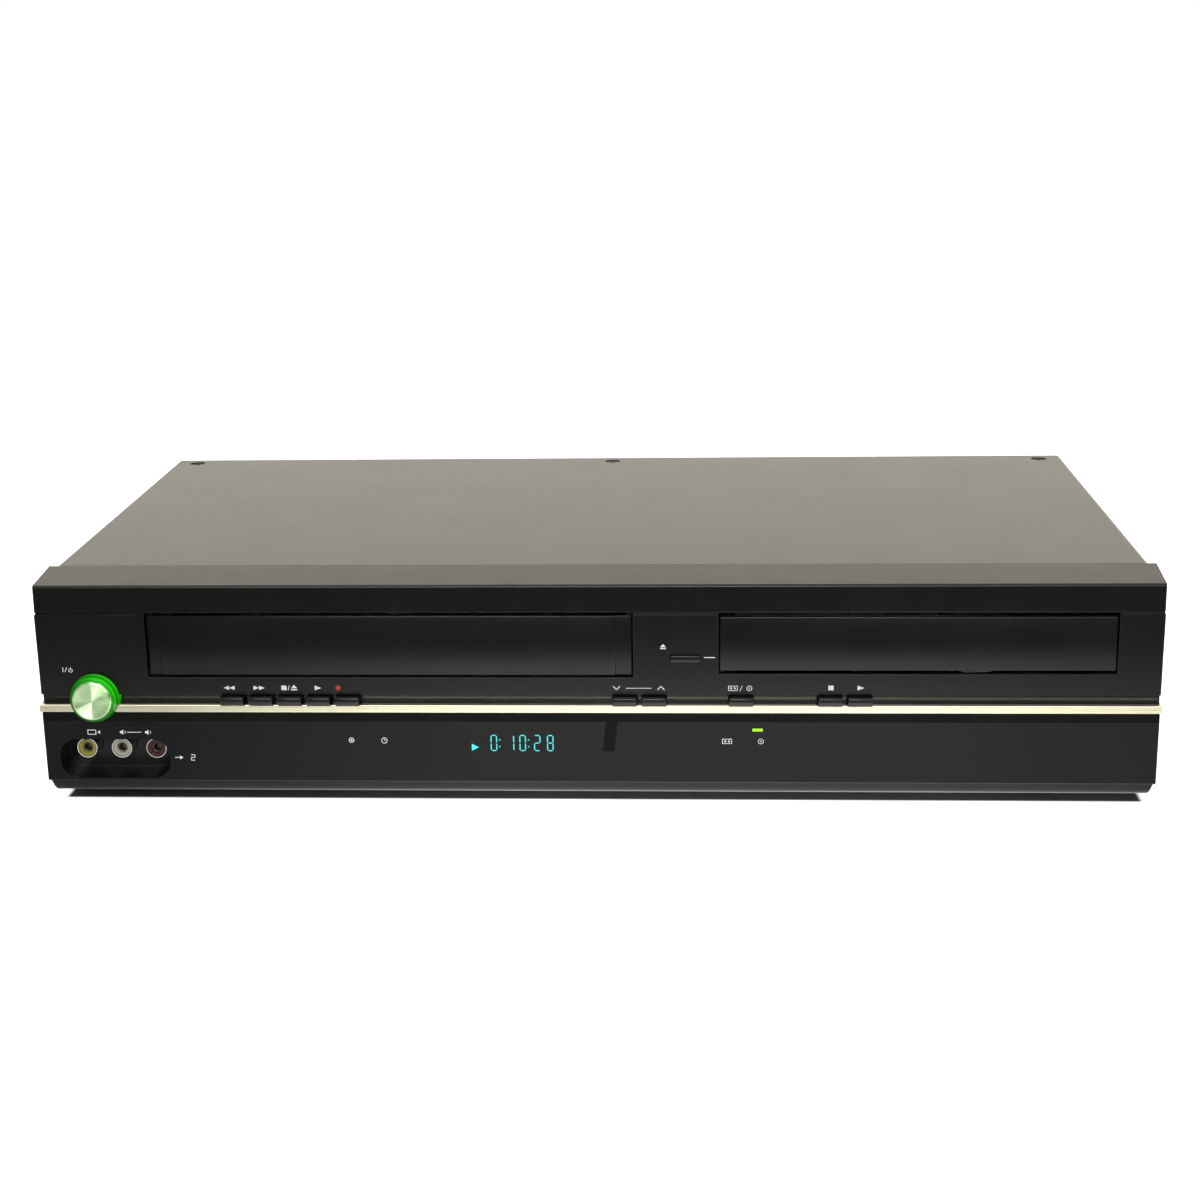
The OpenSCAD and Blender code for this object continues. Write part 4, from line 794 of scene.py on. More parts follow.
class Marks(Solid):
    """Thin marks laid on a face, all in one colour."""

    def __init__(self, face: Face) -> None:
        """Starts with no mark on the face."""
        super().__init__()
        self.lean = face.matrix()

    def outline(self, points: Sequence[Pair]) -> "Marks":
        """Adds a filled outline of pairs of across and height."""
        self.prism(points, -INK, INK, self.lean)
        return self

    def bar(self, x0: float, z0: float, x1: float, z1: float) -> "Marks":
        """Adds a bar between two corners."""
        return self.outline([(x0, z0), (x1, z0), (x1, z1), (x0, z1)])

    def stroke(self, a: Pair, b: Pair, width: float) -> "Marks":
        """Adds a straight line.

        Args:
            a: Its start.
            b: Its end.
            width: Its width.

        Returns:
            These marks.
        """
        start, end = Vector(a), Vector(b)
        along = (end - start).normalized()
        side = Vector((-along.y, along.x)) * width / 2
        return self.outline([tuple(p) for p in (start - side, end - side, end + side, start + side)])

    def path(self, points: Sequence[Pair], width: float) -> "Marks":
        """Adds a line through several points.

        Args:
            points: Pairs of across and height.
            width: The line's width.

        Returns:
            These marks.
        """
        for a, b in zip(points, points[1:]):
            self.stroke(a, b, width)
        return self

    def arrow(self, x: float, z: float, width: float, height: float) -> "Marks":
        """Adds a triangle about its middle, pointing right, or left for a negative width."""
        tips = [(x - width / 2, z - height / 2), (x + width / 2, z), (x - width / 2, z + height / 2)]
        return self.outline(tips if width > 0 else tips[::-1])

    def slash(self, x: float, z: float, lean: float, half: float) -> "Marks":
        """Adds a thin leaning stroke about its middle."""
        return self.stroke((x - lean, z - half), (x + lean, z + half), HAIRLINE)

    def disc(self, x: float, z: float, radius: float, facets: int = 12) -> "Marks":
        """Adds a filled disc.

        Args:
            x: Its middle, across.
            z: Its middle's height.
            radius: Its radius.
            facets: How many corners it has.

        Returns:
            These marks.
        """
        turn = 2 * math.pi / facets
        return self.outline([(x + radius * math.cos(i * turn), z + radius * math.sin(i * turn))
                             for i in range(facets)])

    def ring(self, x: float, z: float, radius: float, width: float, start: float = 0.0,
             end: float = 360.0, facets: int = 24) -> "Marks":
        """Adds a ring, or a part of one.

        Args:
            x: Its middle, across.
            z: Its middle's height.
            radius: Its radius to the middle of the line.
            width: The line's width.
            start: The angle it starts at, in degrees.
            end: The angle it ends at, in degrees.
            facets: How many straight strokes it has.

        Returns:
            These marks.
        """
        angles = [math.radians(start + (end - start) * i / facets) for i in range(facets + 1)]
        return self.path([(x + radius * math.cos(a), z + radius * math.sin(a)) for a in angles],
                         width)

    def frame(self, x0: float, z0: float, x1: float, z1: float, width: float) -> "Marks":
        """Adds an empty rectangle.

        Args:
            x0: Its left side.
            z0: Its foot.
            x1: Its right side.
            z1: Its top.
            width: The line's width.

        Returns:
            These marks.
        """
        half = width / 2
        for a, b in (((x0 - half, z0), (x1 + half, z0)), ((x0 - half, z1), (x1 + half, z1)),
                     ((x0, z0 + half), (x0, z1 - half)), ((x1, z0 + half), (x1, z1 - half))):
            self.stroke(a, b, width)
        return self

    def tape(self, x: float, z: float, half: Pair, hubs: Pair) -> "Marks":
        """Adds a cassette: a frame about its middle with two hubs.

        Args:
            x: Its middle, across.
            z: Its middle's height.
            half: Half its width and half its height.
            hubs: How far the hubs stand from the middle, and their radius.

        Returns:
            These marks.
        """
        self.frame(x - half[0], z - half[1], x + half[0], z + half[1], FRAME_LINE)
        for side in (-hubs[0], hubs[0]):
            self.disc(x + side, z, hubs[1])
        return self

    def disc_sign(self, x: float, z: float, radius: float, line: float, hub: float) -> "Marks":
        """Adds a round disc: a ring with a dot."""
        return self.ring(x, z, radius, line).disc(x, z, hub)

    def eject(self, x: float, z: float, size: float) -> "Marks":
        """Adds a triangle over a bar.

        Args:
            x: Its middle, across.
            z: Its foot's height.
            size: How wide it is.

        Returns:
            These marks.
        """
        left, right = x - size / 2, x + size / 2
        self.bar(left, z, right, z + 0.22 * size)
        return self.outline([(left, z + 0.36 * size), (right, z + 0.36 * size), (x, z + 0.95 * size)])


# ---- the parts that show ----


@dataclass
class PowerButton:
    """The turned cap in its lit ring."""

    radius: float = 7.7
    dish: tuple[Pair, ...] = ((0.0, 0.35), (2.0, 0.31), (4.0, 0.26), (6.3, 0.2), (6.5, 0.12),
                              (6.7, 0.03), (6.85, 0.0), (7.25, 0.0), (7.5, 0.08), (7.65, 0.2))
    shoulder: float = 0.35
    skirt: float = 9.2
    stem: Pair = (3.0, 13.0)
    ring_gap: float = 0.2
    ring_front: float = 8.8
    ring_seat: float = 9.6
    flange: float = 2.0
    out: float = 5.2
    steps: int = 96
    pole: float = 0.001

    def map_turns(self, solid: Solid, x: float, z: float) -> None:
        """Maps the cap round its axis, for the marks that run in circles.

        Args:
            solid: The cap.
            x: The axis's place across.
            z: The axis's height.
        """
        sheet = solid.mesh.loops.layers.uv.new("turn")
        for face in solid.mesh.faces:
            turns = [math.atan2(loop.vert.co.z - z, loop.vert.co.x - x) / (2 * math.pi)
                     for loop in face.loops]
            first = turns[0]
            for loop, turn in zip(face.loops, turns):
                reach = math.hypot(loop.vert.co.x - x, loop.vert.co.z - z)
                if reach < self.pole:
                    turn = sum(turns) / len(turns)
                turn += round(first - turn)
                loop[sheet].uv = (turn, reach * MM)

    def cap(self) -> bpy.types.Object:
        """The metal cap with its stem.

        Returns:
            The cap's piece, mapped round its axis.
        """
        at = middle("power_button")
        outline = [*self.dish, (self.radius, self.shoulder), (self.radius, self.skirt),
                   (self.stem[0], self.skirt), self.stem, (0.0, self.stem[1])]
        solid = Solid().turned(outline, (at.x, -self.out, at.z), steps=self.steps)
        self.map_turns(solid, at.x, at.z)
        return solid.stand_in("power_cap", "power_button", "power_alloy", CAP, crease=24.0)

    def ring(self) -> bpy.types.Object:
        """The clear ring that the lamp behind lights.

        Returns:
            The ring's piece.
        """
        at = middle("power_ring")
        inner, front, seat = self.radius + self.ring_gap, self.ring_front, self.ring_seat
        outline = [(inner, -4.1), (inner + 0.15, -4.4), (front - 0.35, -4.4), (front - 0.1, -4.3),
                   (front, -4.1), (front + 0.25, -3.2), (seat - 0.15, -2.0), (seat, -1.6),
                   (seat, 5.9), (seat + self.flange, 5.9), (seat + self.flange, 6.9), (inner, 6.9)]
        solid = Solid().turned(outline, (at.x, 0.0, at.z), steps=self.steps)
        return solid.stand_in("power_lit_ring", "power_ring", "ring_green", RING)

    def build(self) -> list[bpy.types.Object]:
        """The cap and the ring."""
        return [self.cap(), self.ring()]


@dataclass
class Key:
    """One key: a rounded cap, a flange behind the panel and a stem."""

    node: str
    width: float = 9.4
    height: float = 2.7
    front: float = -3.0
    wall: float = 5.7
    rounding: float = 0.38
    gap: float = 0.3
    overlap: float = 0.02
    flange: Pair = (0.8, 1.0)
    stem: Pair = (1.5, 1.2)
    break_edge: float = 0.15

    def build(self) -> bpy.types.Object:
        """The key in place of its CAD node.

        Returns:
            The key's piece.
        """
        at, end = middle(self.node), box_of(self.node)[1].y
        half, up, seat = self.width / 2, self.height / 2, self.wall + self.gap
        rim, thick = self.flange
        solid = Solid()
        solid.block((at.x - half, self.front, at.z - up), (at.x + half, seat, at.z + up),
                    self.rounding, 3)
        solid.block((at.x - half, seat - self.overlap, at.z - up - rim),
                    (at.x + half, seat + thick, at.z + up + rim), self.break_edge)
        solid.block((at.x - self.stem[0], seat, at.z - self.stem[1]),
                    (at.x + self.stem[0], end, at.z + self.stem[1]), self.break_edge)
        return solid.stand_in("cap_" + self.node, self.node, "button_black")


@dataclass
class Keys:
    """All the keys of the front."""

    channel: tuple[str, ...] = ("rewind", "fast_forward", "stop_eject", "play", "record",
                                "tracking_down", "tracking_up", "source", "disc_stop", "disc_play")
    drawer: Key = field(default_factory=lambda: Key(
        "open_close_button", 11.4, 2.5, -1.4, 2.5, 0.3))

    def build(self) -> list[bpy.types.Object]:
        """The ten keys over the strip and the drawer's key."""
        return [Key(name + "_button").build() for name in self.channel] + [self.drawer.build()]


@dataclass
class Flap:
    """The cassette slot's flap: a thin door with a raised middle on two pins."""

    thickness: float = 2.0
    rounding: float = 0.35
    pad: float = 0.5
    pad_depth: float = 0.8
    pad_left: float = 5.0
    pad_right: float = 6.3
    pad_rounding: float = 0.4
    inset: float = 0.02
    low: float = 48.8
    high: float = 73.0
    front: float = 1.5
    pin_reach: float = 4.0
    pin_r: float = 1.5
    pin_root: float = 0.5
    pin_chamfer: float = 0.3
    ear: float = 2.0
    ear_r: float = 2.2
    ear_foot: float = 10.0
    ear_root: Pair = (0.5, 1.5)
    ear_steps: int = 12
    hinge: Pair = (5.5, 78.3)

    def ear_outline(self, back: float) -> list[Pair]:
        """An ear's outline, from the door's back up round the pin.

        Args:
            back: The depth of the door's back.

        Returns:
            Pairs of depth and height.
        """
        depth, height = self.hinge
        foot = self.high - self.ear_foot
        turns = [math.pi * (1.0 - i / self.ear_steps) for i in range(self.ear_steps + 1)]
        round_part = [(depth + self.ear_r * math.cos(a), height + self.ear_r * math.sin(a))
                      for a in turns]
        inner, outer = back - self.ear_root[0], back + self.ear_root[1]
        return [(inner, foot), (inner, self.high), *round_part, (outer, foot)]

    def build(self) -> list[bpy.types.Object]:
        """The flap in place of its CAD node.

        Returns:
            The flap's piece.
        """
        low, high = box_of("cassette_door")
        x0, x1 = low.x + self.pin_reach, high.x - self.pin_reach
        back = self.front + self.thickness
        solid = Solid()
        solid.block((x0, self.front, self.low), (x1, back, self.high), self.rounding, 3)
        solid.block((x0 + self.pad_left, self.front - self.pad, self.low + self.inset),
                    (x1 - self.pad_right, self.front + self.pad_depth, self.high - self.inset),
                    self.pad_rounding, 3)
        tip, cut = self.pin_reach, self.pin_chamfer
        pin = [(0.0, -self.pin_root), (self.pin_r, -self.pin_root), (self.pin_r, tip - cut),
               (self.pin_r - cut, tip), (0.0, tip)]
        for edge, out in ((x0, -1.0), (x1, 1.0)):
            inside = edge - out * self.ear
            solid.plate(self.ear_outline(back), min(edge, inside), max(edge, inside))
            solid.turned(pin, (edge, *self.hinge), out, 32, "X")
        return [solid.stand_in("flap", "cassette_door", "panel_black")]


@dataclass
class DrawerFront:
    """The disc drawer's front with its two brackets to the tray."""

    thickness: float = 3.0
    rounding: float = 0.4
    bracket_x: float = 45.0
    bracket_half: float = 5.0
    bracket_edge: float = 0.2
    root: float = 1.0
    foot: float = 2.0
    shelf: Pair = (0.2, 1.5)

    def build(self) -> list[bpy.types.Object]:
        """The drawer's front in place of its CAD node.

        Returns:
            The front's piece.
        """
        (low, high), (tray_low, tray_high) = box_of("tray_door"), box_of("disc_tray")
        mid, top = (low.x + high.x) / 2, tray_high.z + self.shelf[1]
        solid = Solid()
        solid.block(tuple(low), (high.x, low.y + self.thickness, high.z), self.rounding, 3)
        for x in (mid - self.bracket_x, mid + self.bracket_x):
            left, right = x - self.bracket_half, x + self.bracket_half
            solid.block((left, low.y + self.root, tray_low.z + self.foot),
                        (right, tray_low.y, top), self.bracket_edge)
            solid.block((left, low.y + self.root, tray_high.z + self.shelf[0]),
                        (right, high.y, top), self.bracket_edge)
        return [solid.stand_in("drawer_front", "tray_door", "panel_black")]


@dataclass
class PhonoSockets:
    """A set of phono sockets: metal shells, coloured inserts and contact sleeves."""

    radius: float = 4.15
    wall: float = 0.5
    hole: float = 1.95
    steps: int = 48
    shell: Solid = field(default_factory=Solid)
    contact: Solid = field(default_factory=Solid)
    inserts: defaultdict[Insert, Solid] = field(default_factory=lambda: defaultdict(Solid))

    def add(self, colour: Insert, at: Triple, length: float, outward: float) -> None:
        """Adds a socket's shapes.

        Args:
            colour: The colour of its insert.
            at: The middle of its open end.
            length: How long it is.
            outward: -1 where the open end faces forward, 1 where it faces back.
        """
        r, inner, hole, deep = self.radius, self.radius - self.wall, self.hole, length - 0.6
        self.shell.turned([(inner, length), (inner, 0.35), (inner + 0.12, 0.0), (r - 0.12, 0.0),
                           (r, 0.15), (r, length)], at, -outward, self.steps)
        self.inserts[colour].turned([
            (hole, deep), (hole, 1.1), (hole + 0.35, 0.55), (inner - 0.3, 0.55),
            (inner - 0.03, 0.8), (inner - 0.03, deep)], at, -outward, self.steps)
        self.contact.turned([(0.0, 6.4), (hole - 0.35, 6.2), (hole - 0.35, 1.5),
                             (hole - 0.02, 1.4), (hole - 0.02, 6.8), (0.0, 6.8)], at, -outward, 32)

    def pieces(self, side: str, node: str, name: str, block: Solid) -> list[bpy.types.Object]:
        """Ends the sockets and the block that holds them as pieces.

        Args:
            side: "front" or "rear", which the pieces are named for.
            node: The CAD node that they stand in for.
            name: The block's name.
            block: The block.

        Returns:
            The inserts, the block, the shells and the contacts.
        """
        body = body_of(node)
        made = [solid.piece(f"{side}_insert_{colour.name.lower()}", colour.finish(), body,
                            "socket_mixed") for colour, solid in self.inserts.items()]
        return made + [block.stand_in(name, node, "socket_mixed"),
                       self.shell.piece(side + "_socket_shells", SHELL, body, "nickel"),
                       self.contact.piece(side + "_socket_contacts", CONTACT, body, "nickel")]


@dataclass
class FrontSockets:
    """The three sockets in the front's recess."""

    face: float = 4.2
    length: float = 9.7
    end: float = 7.0
    overlap: float = 0.1
    rounding: float = 0.4
    colours: tuple[Insert, ...] = (Insert.YELLOW, Insert.WHITE, Insert.RED)

    def build(self) -> list[bpy.types.Object]:
        """The sockets in place of their CAD node.

        Returns:
            The inserts, the block, the shells and the contacts.
        """
        node = "front_av_jacks"
        low, high = box_of(node)
        pitch, z = (high.x - low.x - 2 * self.end) / 2, (low.z + high.z) / 2
        block = Solid().block((low.x, self.face + self.length - self.overlap, low.z), tuple(high),
                              self.rounding)
        sockets = PhonoSockets()
        for i, colour in enumerate(self.colours):
            sockets.add(colour, (low.x + self.end + i * pitch, self.face, z), self.length, -1.0)
        return sockets.pieces("front", node, "front_socket_block", block)


@dataclass
class RearSockets:
    """The phono sockets and the round video socket of the back."""

    plate: float = 236.0
    face: float = 244.5
    inside: float = 14.0
    pitch: float = 14.0
    row: float = 19.0
    over: float = 8.0
    line_x: float = -140.0
    colour_x: float = -60.0
    sound_x: float = 0.0
    round_x: float = -84.0
    round_half: float = 8.0
    board: float = 9.2
    margin: float = 7.0
    tight: float = 6.0
    rounding: float = 0.4

    def group(self) -> list[tuple[float, float, Insert]]:
        """The phono sockets of the back.

        Returns:
            Each one's place across, its height and its colour.
        """
        rows = [(self.line_x + i * self.pitch, self.row + k * self.pitch, c)
                for i, c in enumerate((Insert.YELLOW, Insert.WHITE, Insert.RED)) for k in (0, 1)]
        for start, colours in (
                (self.colour_x, (Insert.GREEN, Insert.BLUE, Insert.RED, Insert.ORANGE)),
                (self.sound_x, (Insert.WHITE, Insert.RED))):
            rows += [(start + i * self.pitch, self.row, c) for i, c in enumerate(colours)]
        return rows

    def blocks(self) -> Solid:
        """The blocks that the sockets sit in, on the board behind the back panel.

        Returns:
            The solid that holds them.
        """
        top, wide, tight, solid = self.row + self.over, self.margin, self.tight, Solid()
        for first, left, gaps, right, high in (
                (self.line_x, wide, 2, wide, top + self.pitch),
                (self.colour_x, wide, 3, tight, top), (self.sound_x, tight, 1, wide, top),
                (self.round_x, self.round_half, 0, self.round_half, top)):
            solid.block((first - left, self.plate - self.inside, self.board),
                        (first + gaps * self.pitch + right, self.plate, high), self.rounding)
        return solid

    def round_socket(self, sockets: PhonoSockets, block: Solid) -> None:
        """Adds the round video socket: a shielded well with four contacts and a key.

        Args:
            sockets: The set that takes its shield and its contacts.
            block: The solid that takes its insulator.
        """
        x, d, z = at = (self.round_x, self.plate + 1.0, self.row)
        sockets.shell.turned([(4.8, 5.0), (4.8, 0.2), (5.0, 0.0), (5.8, 0.0), (6.0, 0.2),
                              (6.0, 5.0)], at, -1.0, 48)
        block.turned([(0.0, 2.6), (4.78, 2.6), (4.78, 5.0), (0.0, 5.0)], at, -1.0, 48)
        for right, up in ((-1.6, -1.1), (1.6, -1.1), (-1.6, 1.5), (1.6, 1.5)):
            sockets.contact.turned([(0.0, 2.4), (0.55, 2.4), (0.55, 3.2), (0.0, 3.2)],
                                   (x + right, d, z + up), -1.0, 16)
        block.block((x - 1.2, d - 3.0, z - 4.0), (x + 1.2, d - 1.2, z - 3.0), 0.1)

    def build(self) -> list[bpy.types.Object]:
        """The back's sockets in place of their CAD node.

        Returns:
            The inserts, the blocks, the shells and the contacts.
        """
        sockets, block = PhonoSockets(), self.blocks()
        for x, z, colour in self.group():
            sockets.add(colour, (x, self.face, z), self.face - self.plate + 0.6, 1.0)
        self.round_socket(sockets, block)
        return sockets.pieces("rear", "rear_jacks", "rear_socket_blocks", block)


@dataclass
class AerialSockets:
    """The two threaded aerial sockets on their box."""

    heights: Pair = (26.0, 50.0)
    radius: float = 4.7
    root: float = 4.3
    pitch: float = 0.8
    run_out: float = 0.6
    plate: float = 236.0

    def thread(self, length: float) -> list[Pair]:
        """The outside of a threaded barrel.

        Args:
            length: The barrel's length.

        Returns:
            Pairs of radius and distance from its open end.
        """
        turns = int((length - self.run_out - 1.0) / self.pitch)
        crests = [(self.run_out + i * self.pitch, self.run_out + (i + 0.5) * self.pitch)
                  for i in range(turns)]
        ridges = [pair for a, b in crests for pair in ((self.root, a), (self.radius, b))]
        return [(self.root - 0.1, 0.0)] + ridges + [(self.root, length)]

    def build(self) -> list[bpy.types.Object]:
        """The aerial sockets in place of their CAD node.

        Returns:
            The box with its barrels, the insulators and the contacts.
        """
        node = "rf_connectors"
        body = body_of(node)
        low, high = box_of(node)
        length = high.y - self.plate
        metal, white, contact = Solid(), Solid(), Solid()
        metal.block(tuple(low), (high.x, self.plate, high.z), 0.6, 3)
        for z in self.heights:
            at = ((low.x + high.x) / 2, high.y, z)
            metal.turned([(3.3, length), (3.3, 0.2), (3.5, 0.0)] + self.thread(length), at, -1.0, 48)
            white.turned([(1.0, length), (1.0, 0.9), (1.3, 0.6), (3.28, 0.6), (3.28, length)],
                         at, -1.0, 40)
            contact.turned([(0.0, 4.0), (0.5, 4.0), (0.5, 1.6), (0.98, 1.5), (0.98, 5.0),
                            (0.0, 5.0)], at, -1.0, 20)
        return [metal.stand_in("aerial_box", node, "nickel", crease=20.0),
                white.piece("aerial_insulators", Insert.WHITE.finish(), body, "socket_mixed"),
                contact.piece("aerial_contacts", CONTACT, body, "nickel")]


@dataclass
class Feet:
    """The four rubber feet."""

    radius: float = 12.0
    stem: Pair = (3.0, 2.4)
    height: float = 9.5
    across: float = 180.0
    depths: Pair = (42.0, 213.0)

    def build(self) -> list[bpy.types.Object]:
        """The feet in place of their CAD node.

        Returns:
            The feet's one piece.
        """
        solid = Solid()
        h, r = -self.height, self.radius
        outline = [(0.0, self.stem[1]), self.stem, (self.stem[0], 0.0), (r - 0.4, 0.0), (r, -0.4),
                   (r, -2.6), (r - 0.5, -2.9), (r - 0.5, -3.5), (r, -3.8), (r, h + 1.5),
                   (r - 0.4, h + 0.5), (r - 1.4, h), (r - 4.6, h), (r - 5.0, h + 0.4),
                   (r - 5.0, h + 2.0), (0.0, h + 2.0)]
        for x in (-self.across, self.across):
            for d in self.depths:
                solid.turned(outline, (x, d, 0.0), axis="Z")
        return [solid.stand_in("rubber_feet", "feet", "rubber_black")]


@dataclass
class Readout:
    """The clock behind the window: lit segments, dots and the play mark, and the lit lamp."""

    digits: tuple[tuple[float, str], ...] = (
        (-38.5, "0"), (-31.8, "1"), (-27.2, "0"), (-21.5, "2"), (-16.4, "8"))
    dots: Pair = (-36.2, -24.9)
    dot_half: float = 0.25
    dot_heights: Pair = (1.3, -1.5)
    z: float = 21.9
    half: Pair = (1.075, 3.15)
    gap: float = 0.28
    stroke: float = 0.42
    play: tuple[float, ...] = (-45.8, 20.1, 2.9, 2.9)
    lamp: tuple[float, ...] = (62.2, 26.9, 66.2, 28.1)
    on: dict[str, str] = field(default_factory=lambda: {
        "0": "abcdef", "1": "bc", "2": "abged", "8": "abcdefg"})

    def digit(self, marks: Marks, x: float, lit: str) -> None:
        """Adds one digit's lit segments.

        Args:
            marks: The marks to add to.
            x: The digit's middle.
            lit: The letters of its lit segments.
        """
        w, h = self.half
        lines = {"a": ((-w, h), (w, h)), "g": ((-w, 0.0), (w, 0.0)), "d": ((-w, -h), (w, -h)),
                 "b": ((w, h), (w, 0.0)), "c": ((w, 0.0), (w, -h)),
                 "f": ((-w, h), (-w, 0.0)), "e": ((-w, 0.0), (-w, -h))}
        for letter in lit:
            (x0, z0), (x1, z1) = lines[letter]
            along = Vector((x1 - x0, z1 - z0)).normalized() * self.gap
            marks.stroke((x + x0 + along.x, self.z + z0 + along.y),
                         (x + x1 - along.x, self.z + z1 - along.y), self.stroke)

    def build(self) -> list[bpy.types.Object]:
        """The lit segments and the lamp.

        Returns:
            Their two pieces.
        """
        body, half = body_of("window_lens"), self.dot_half
        marks = Marks(WINDOW)
        for x, sign in self.digits:
            self.digit(marks, x, self.on[sign])
        for x in self.dots:
            for z in (self.z + up for up in self.dot_heights):
                marks.bar(x - half, z - half, x + half, z + half)
        marks.arrow(*self.play)
        return [marks.piece("lit_clock", SEGMENTS, body),
                Marks(WINDOW).bar(*self.lamp).piece("lit_disc_lamp", LAMP_GLOW, body)]


@dataclass
class Signs:
    """The small signs printed over the keys and beside the sockets, and the shade painted on the
    window under the strip.
    """

    row: float = 44.0
    half: float = 0.95
    winding: tuple[Pair, ...] = ((-142.3, -1.0), (-130.4, 1.0))
    winding_step: float = 1.1
    winding_size: Pair = (2.2, 1.75)
    stop: Pair = (-121.6, -119.5)
    stop_slash: float = -118.65
    stop_eject: float = -116.6
    play: float = -107.1
    play_size: Pair = (2.6, 1.9)
    record: float = -99.2
    record_radius: float = 1.05
    tracking: tuple[Pair, ...] = ((9.7, -1.0), (26.9, 1.0))
    chevron: Triple = (1.3, 0.75, 0.36)
    join: Pair = (13.4, 23.2)
    join_half: float = 0.12
    source: Triple = (54.7, 57.8, 61.0)
    disc_stop: Pair = (91.3, 93.3)
    disc_play: float = 103.8
    disc_lift: float = 0.2
    chevron_lift: float = 0.1
    drawer_eject: Triple = (27.8, 60.0, 2.2)
    drawer_bar: tuple[float, ...] = (43.5, 56.4, 47.8, 56.75)
    power_line: tuple[float, ...] = (-208.1, 50.5, -207.8, 52.4)
    power_slash: Pair = (-206.8, 51.45)
    power_ring: Pair = (-204.9, 51.2)
    power_stem: tuple[float, ...] = (-205.03, 51.3, -204.77, 52.5)
    sockets_z: float = 26.0
    film: Pair = (-199.6, -196.4)
    film_horn: Pair = (-195.8, -194.7)
    speakers: Pair = (-186.0, -175.9)
    speaker: tuple[Pair, ...] = ((-0.75, 0.45), (-0.2, 0.45), (0.6, 1.0))
    speaker_wave: Pair = (0.7, 0.75)
    speaker_join: Pair = (-183.9, -178.2)
    into: tuple[Pair, ...] = ((-163.4, 14.6), (-162.0, 15.45), (-163.4, 16.3))
    into_bar: tuple[float, ...] = (-165.4, 15.3, -163.4, 15.6)
    two: tuple[Pair, ...] = ((-158.9, 16.6), (-157.4, 16.6), (-157.4, 15.45), (-158.9, 15.45),
                             (-158.9, 14.3), (-157.4, 14.3))
    lamp_dot: Pair = (-94.6, 22.9)
    timer: Pair = (-81.6, 22.8)
    timer_hands: tuple[Pair, ...] = ((-81.6, 23.6), (-81.0, 22.8))
    tape_at: Pair = (52.4, 22.8)
    disc_at: Pair = (65.5, 22.8)
    # Painted shade on the window: a dark band under the strip and a slanted dark bar.
    border: tuple[float, ...] = (-217.0, 30.7, 217.0, 33.9)
    shade_bar: tuple[Pair, ...] = ((4.0, 18.5), (8.7, 18.5), (10.0, 30.7), (5.5, 30.7))

    def keys(self) -> Marks:
        """The signs over the ten keys.

        Returns:
            The marks.
        """
        marks, z, half = Marks(MIDDLE), self.row, self.half
        wide, tall = self.winding_size
        for x, way in self.winding:
            for step in (-self.winding_step, self.winding_step):
                marks.arrow(x + step, z, wide * way, tall)
        marks.bar(self.stop[0], z - half, self.stop[1], z + half)
        marks.slash(self.stop_slash, z, 0.25, 1.0).eject(self.stop_eject, z - 1.0, 2.4)
        marks.arrow(self.play, z, *self.play_size)
        wide, tall, line = self.chevron
        mid = z + self.chevron_lift
        for x, way in self.tracking:
            for side in (-wide, wide):
                marks.stroke((x + side, mid - tall * way), (x, mid + tall * way), line)
        marks.bar(self.join[0], z - self.join_half, self.join[1], z + self.join_half)
        tape, slash, disc = self.source
        marks.tape(tape, z, (1.7, 0.9), (0.7, 0.4)).slash(slash, z, 0.4, 1.0)
        marks.disc_sign(disc, z, half, 0.28, 0.3)
        up = z + self.disc_lift
        marks.bar(self.disc_stop[0], up - half, self.disc_stop[1], up + half)
        return marks.arrow(self.disc_play, up, *self.play_size)

    def pillar(self) -> Marks:
        """The signs by the drawer's key and over the power button.

        Returns:
            The marks.
        """
        marks = Marks(MIDDLE).eject(*self.drawer_eject).bar(*self.drawer_bar)
        marks.bar(*self.power_line).slash(*self.power_slash, 0.4, self.half)
        marks.ring(*self.power_ring, 0.72, 0.28, -235.0, 55.0, 18)
        return marks.bar(*self.power_stem)

    def sockets(self, marks: Marks) -> None:
        """Adds the signs over and beside the front sockets.

        Args:
            marks: The marks to add to.
        """
        z = self.sockets_z
        marks.frame(self.film[0], z - 0.9, self.film[1], z + 0.9, 0.28)
        tip, mouth = self.film_horn
        marks.outline([(tip, z), (mouth, z - 0.8), (mouth, z + 0.8)])
        (box, low), (neck, _), (horn, high) = self.speaker
        for x in self.speakers:
            marks.bar(x + box, z - low, x + neck, z + low)
            marks.outline([(x + neck, z - low), (x + horn, z - high), (x + horn, z + high),
                           (x + neck, z + low)])
            marks.ring(x + self.speaker_wave[0], z, self.speaker_wave[1], 0.22, -50.0, 50.0, 8)
        marks.bar(self.speaker_join[0], z - self.join_half, self.speaker_join[1],
                  z + self.join_half)
        marks.outline(self.into).bar(*self.into_bar).path(self.two, 0.3)

    def window(self) -> Marks:
        """The signs beside the front sockets and the lamps.

        Returns:
            The marks.
        """
        marks = Marks(WINDOW)
        self.sockets(marks)
        marks.disc_sign(*self.lamp_dot, self.half, 0.3, 0.45).ring(*self.timer, 1.1, 0.28)
        for tip in self.timer_hands:
            marks.stroke(self.timer, tip, 0.22)
        marks.tape(*self.tape_at, (1.8, 0.9), (0.7, 0.42))
        return marks.disc_sign(*self.disc_at, 1.0, 0.28, 0.3)

    def build(self) -> list[bpy.types.Object]:
        """All the signs, and the painted shade on the window.

        Returns:
            Their pieces.
        """
        panel, window = body_of("front_panel"), body_of("window_lens")
        dot = Marks(MIDDLE).disc(self.record, self.row, self.record_radius, 20)
        # The dark band and bar are painted shade, laid on the window.
        dark = Marks(WINDOW).bar(*self.border).outline(self.shade_bar)
        return [self.keys().piece("key_signs", INK_WHITE, panel),
                self.pillar().piece("pillar_signs", INK_WHITE, panel),
                self.window().piece("window_signs", INK_WHITE, window),
                dot.piece("record_sign", INK_RED, panel),
                dark.piece("window_painted_shade", PAINTED_WINDOW_SHADE, window)]


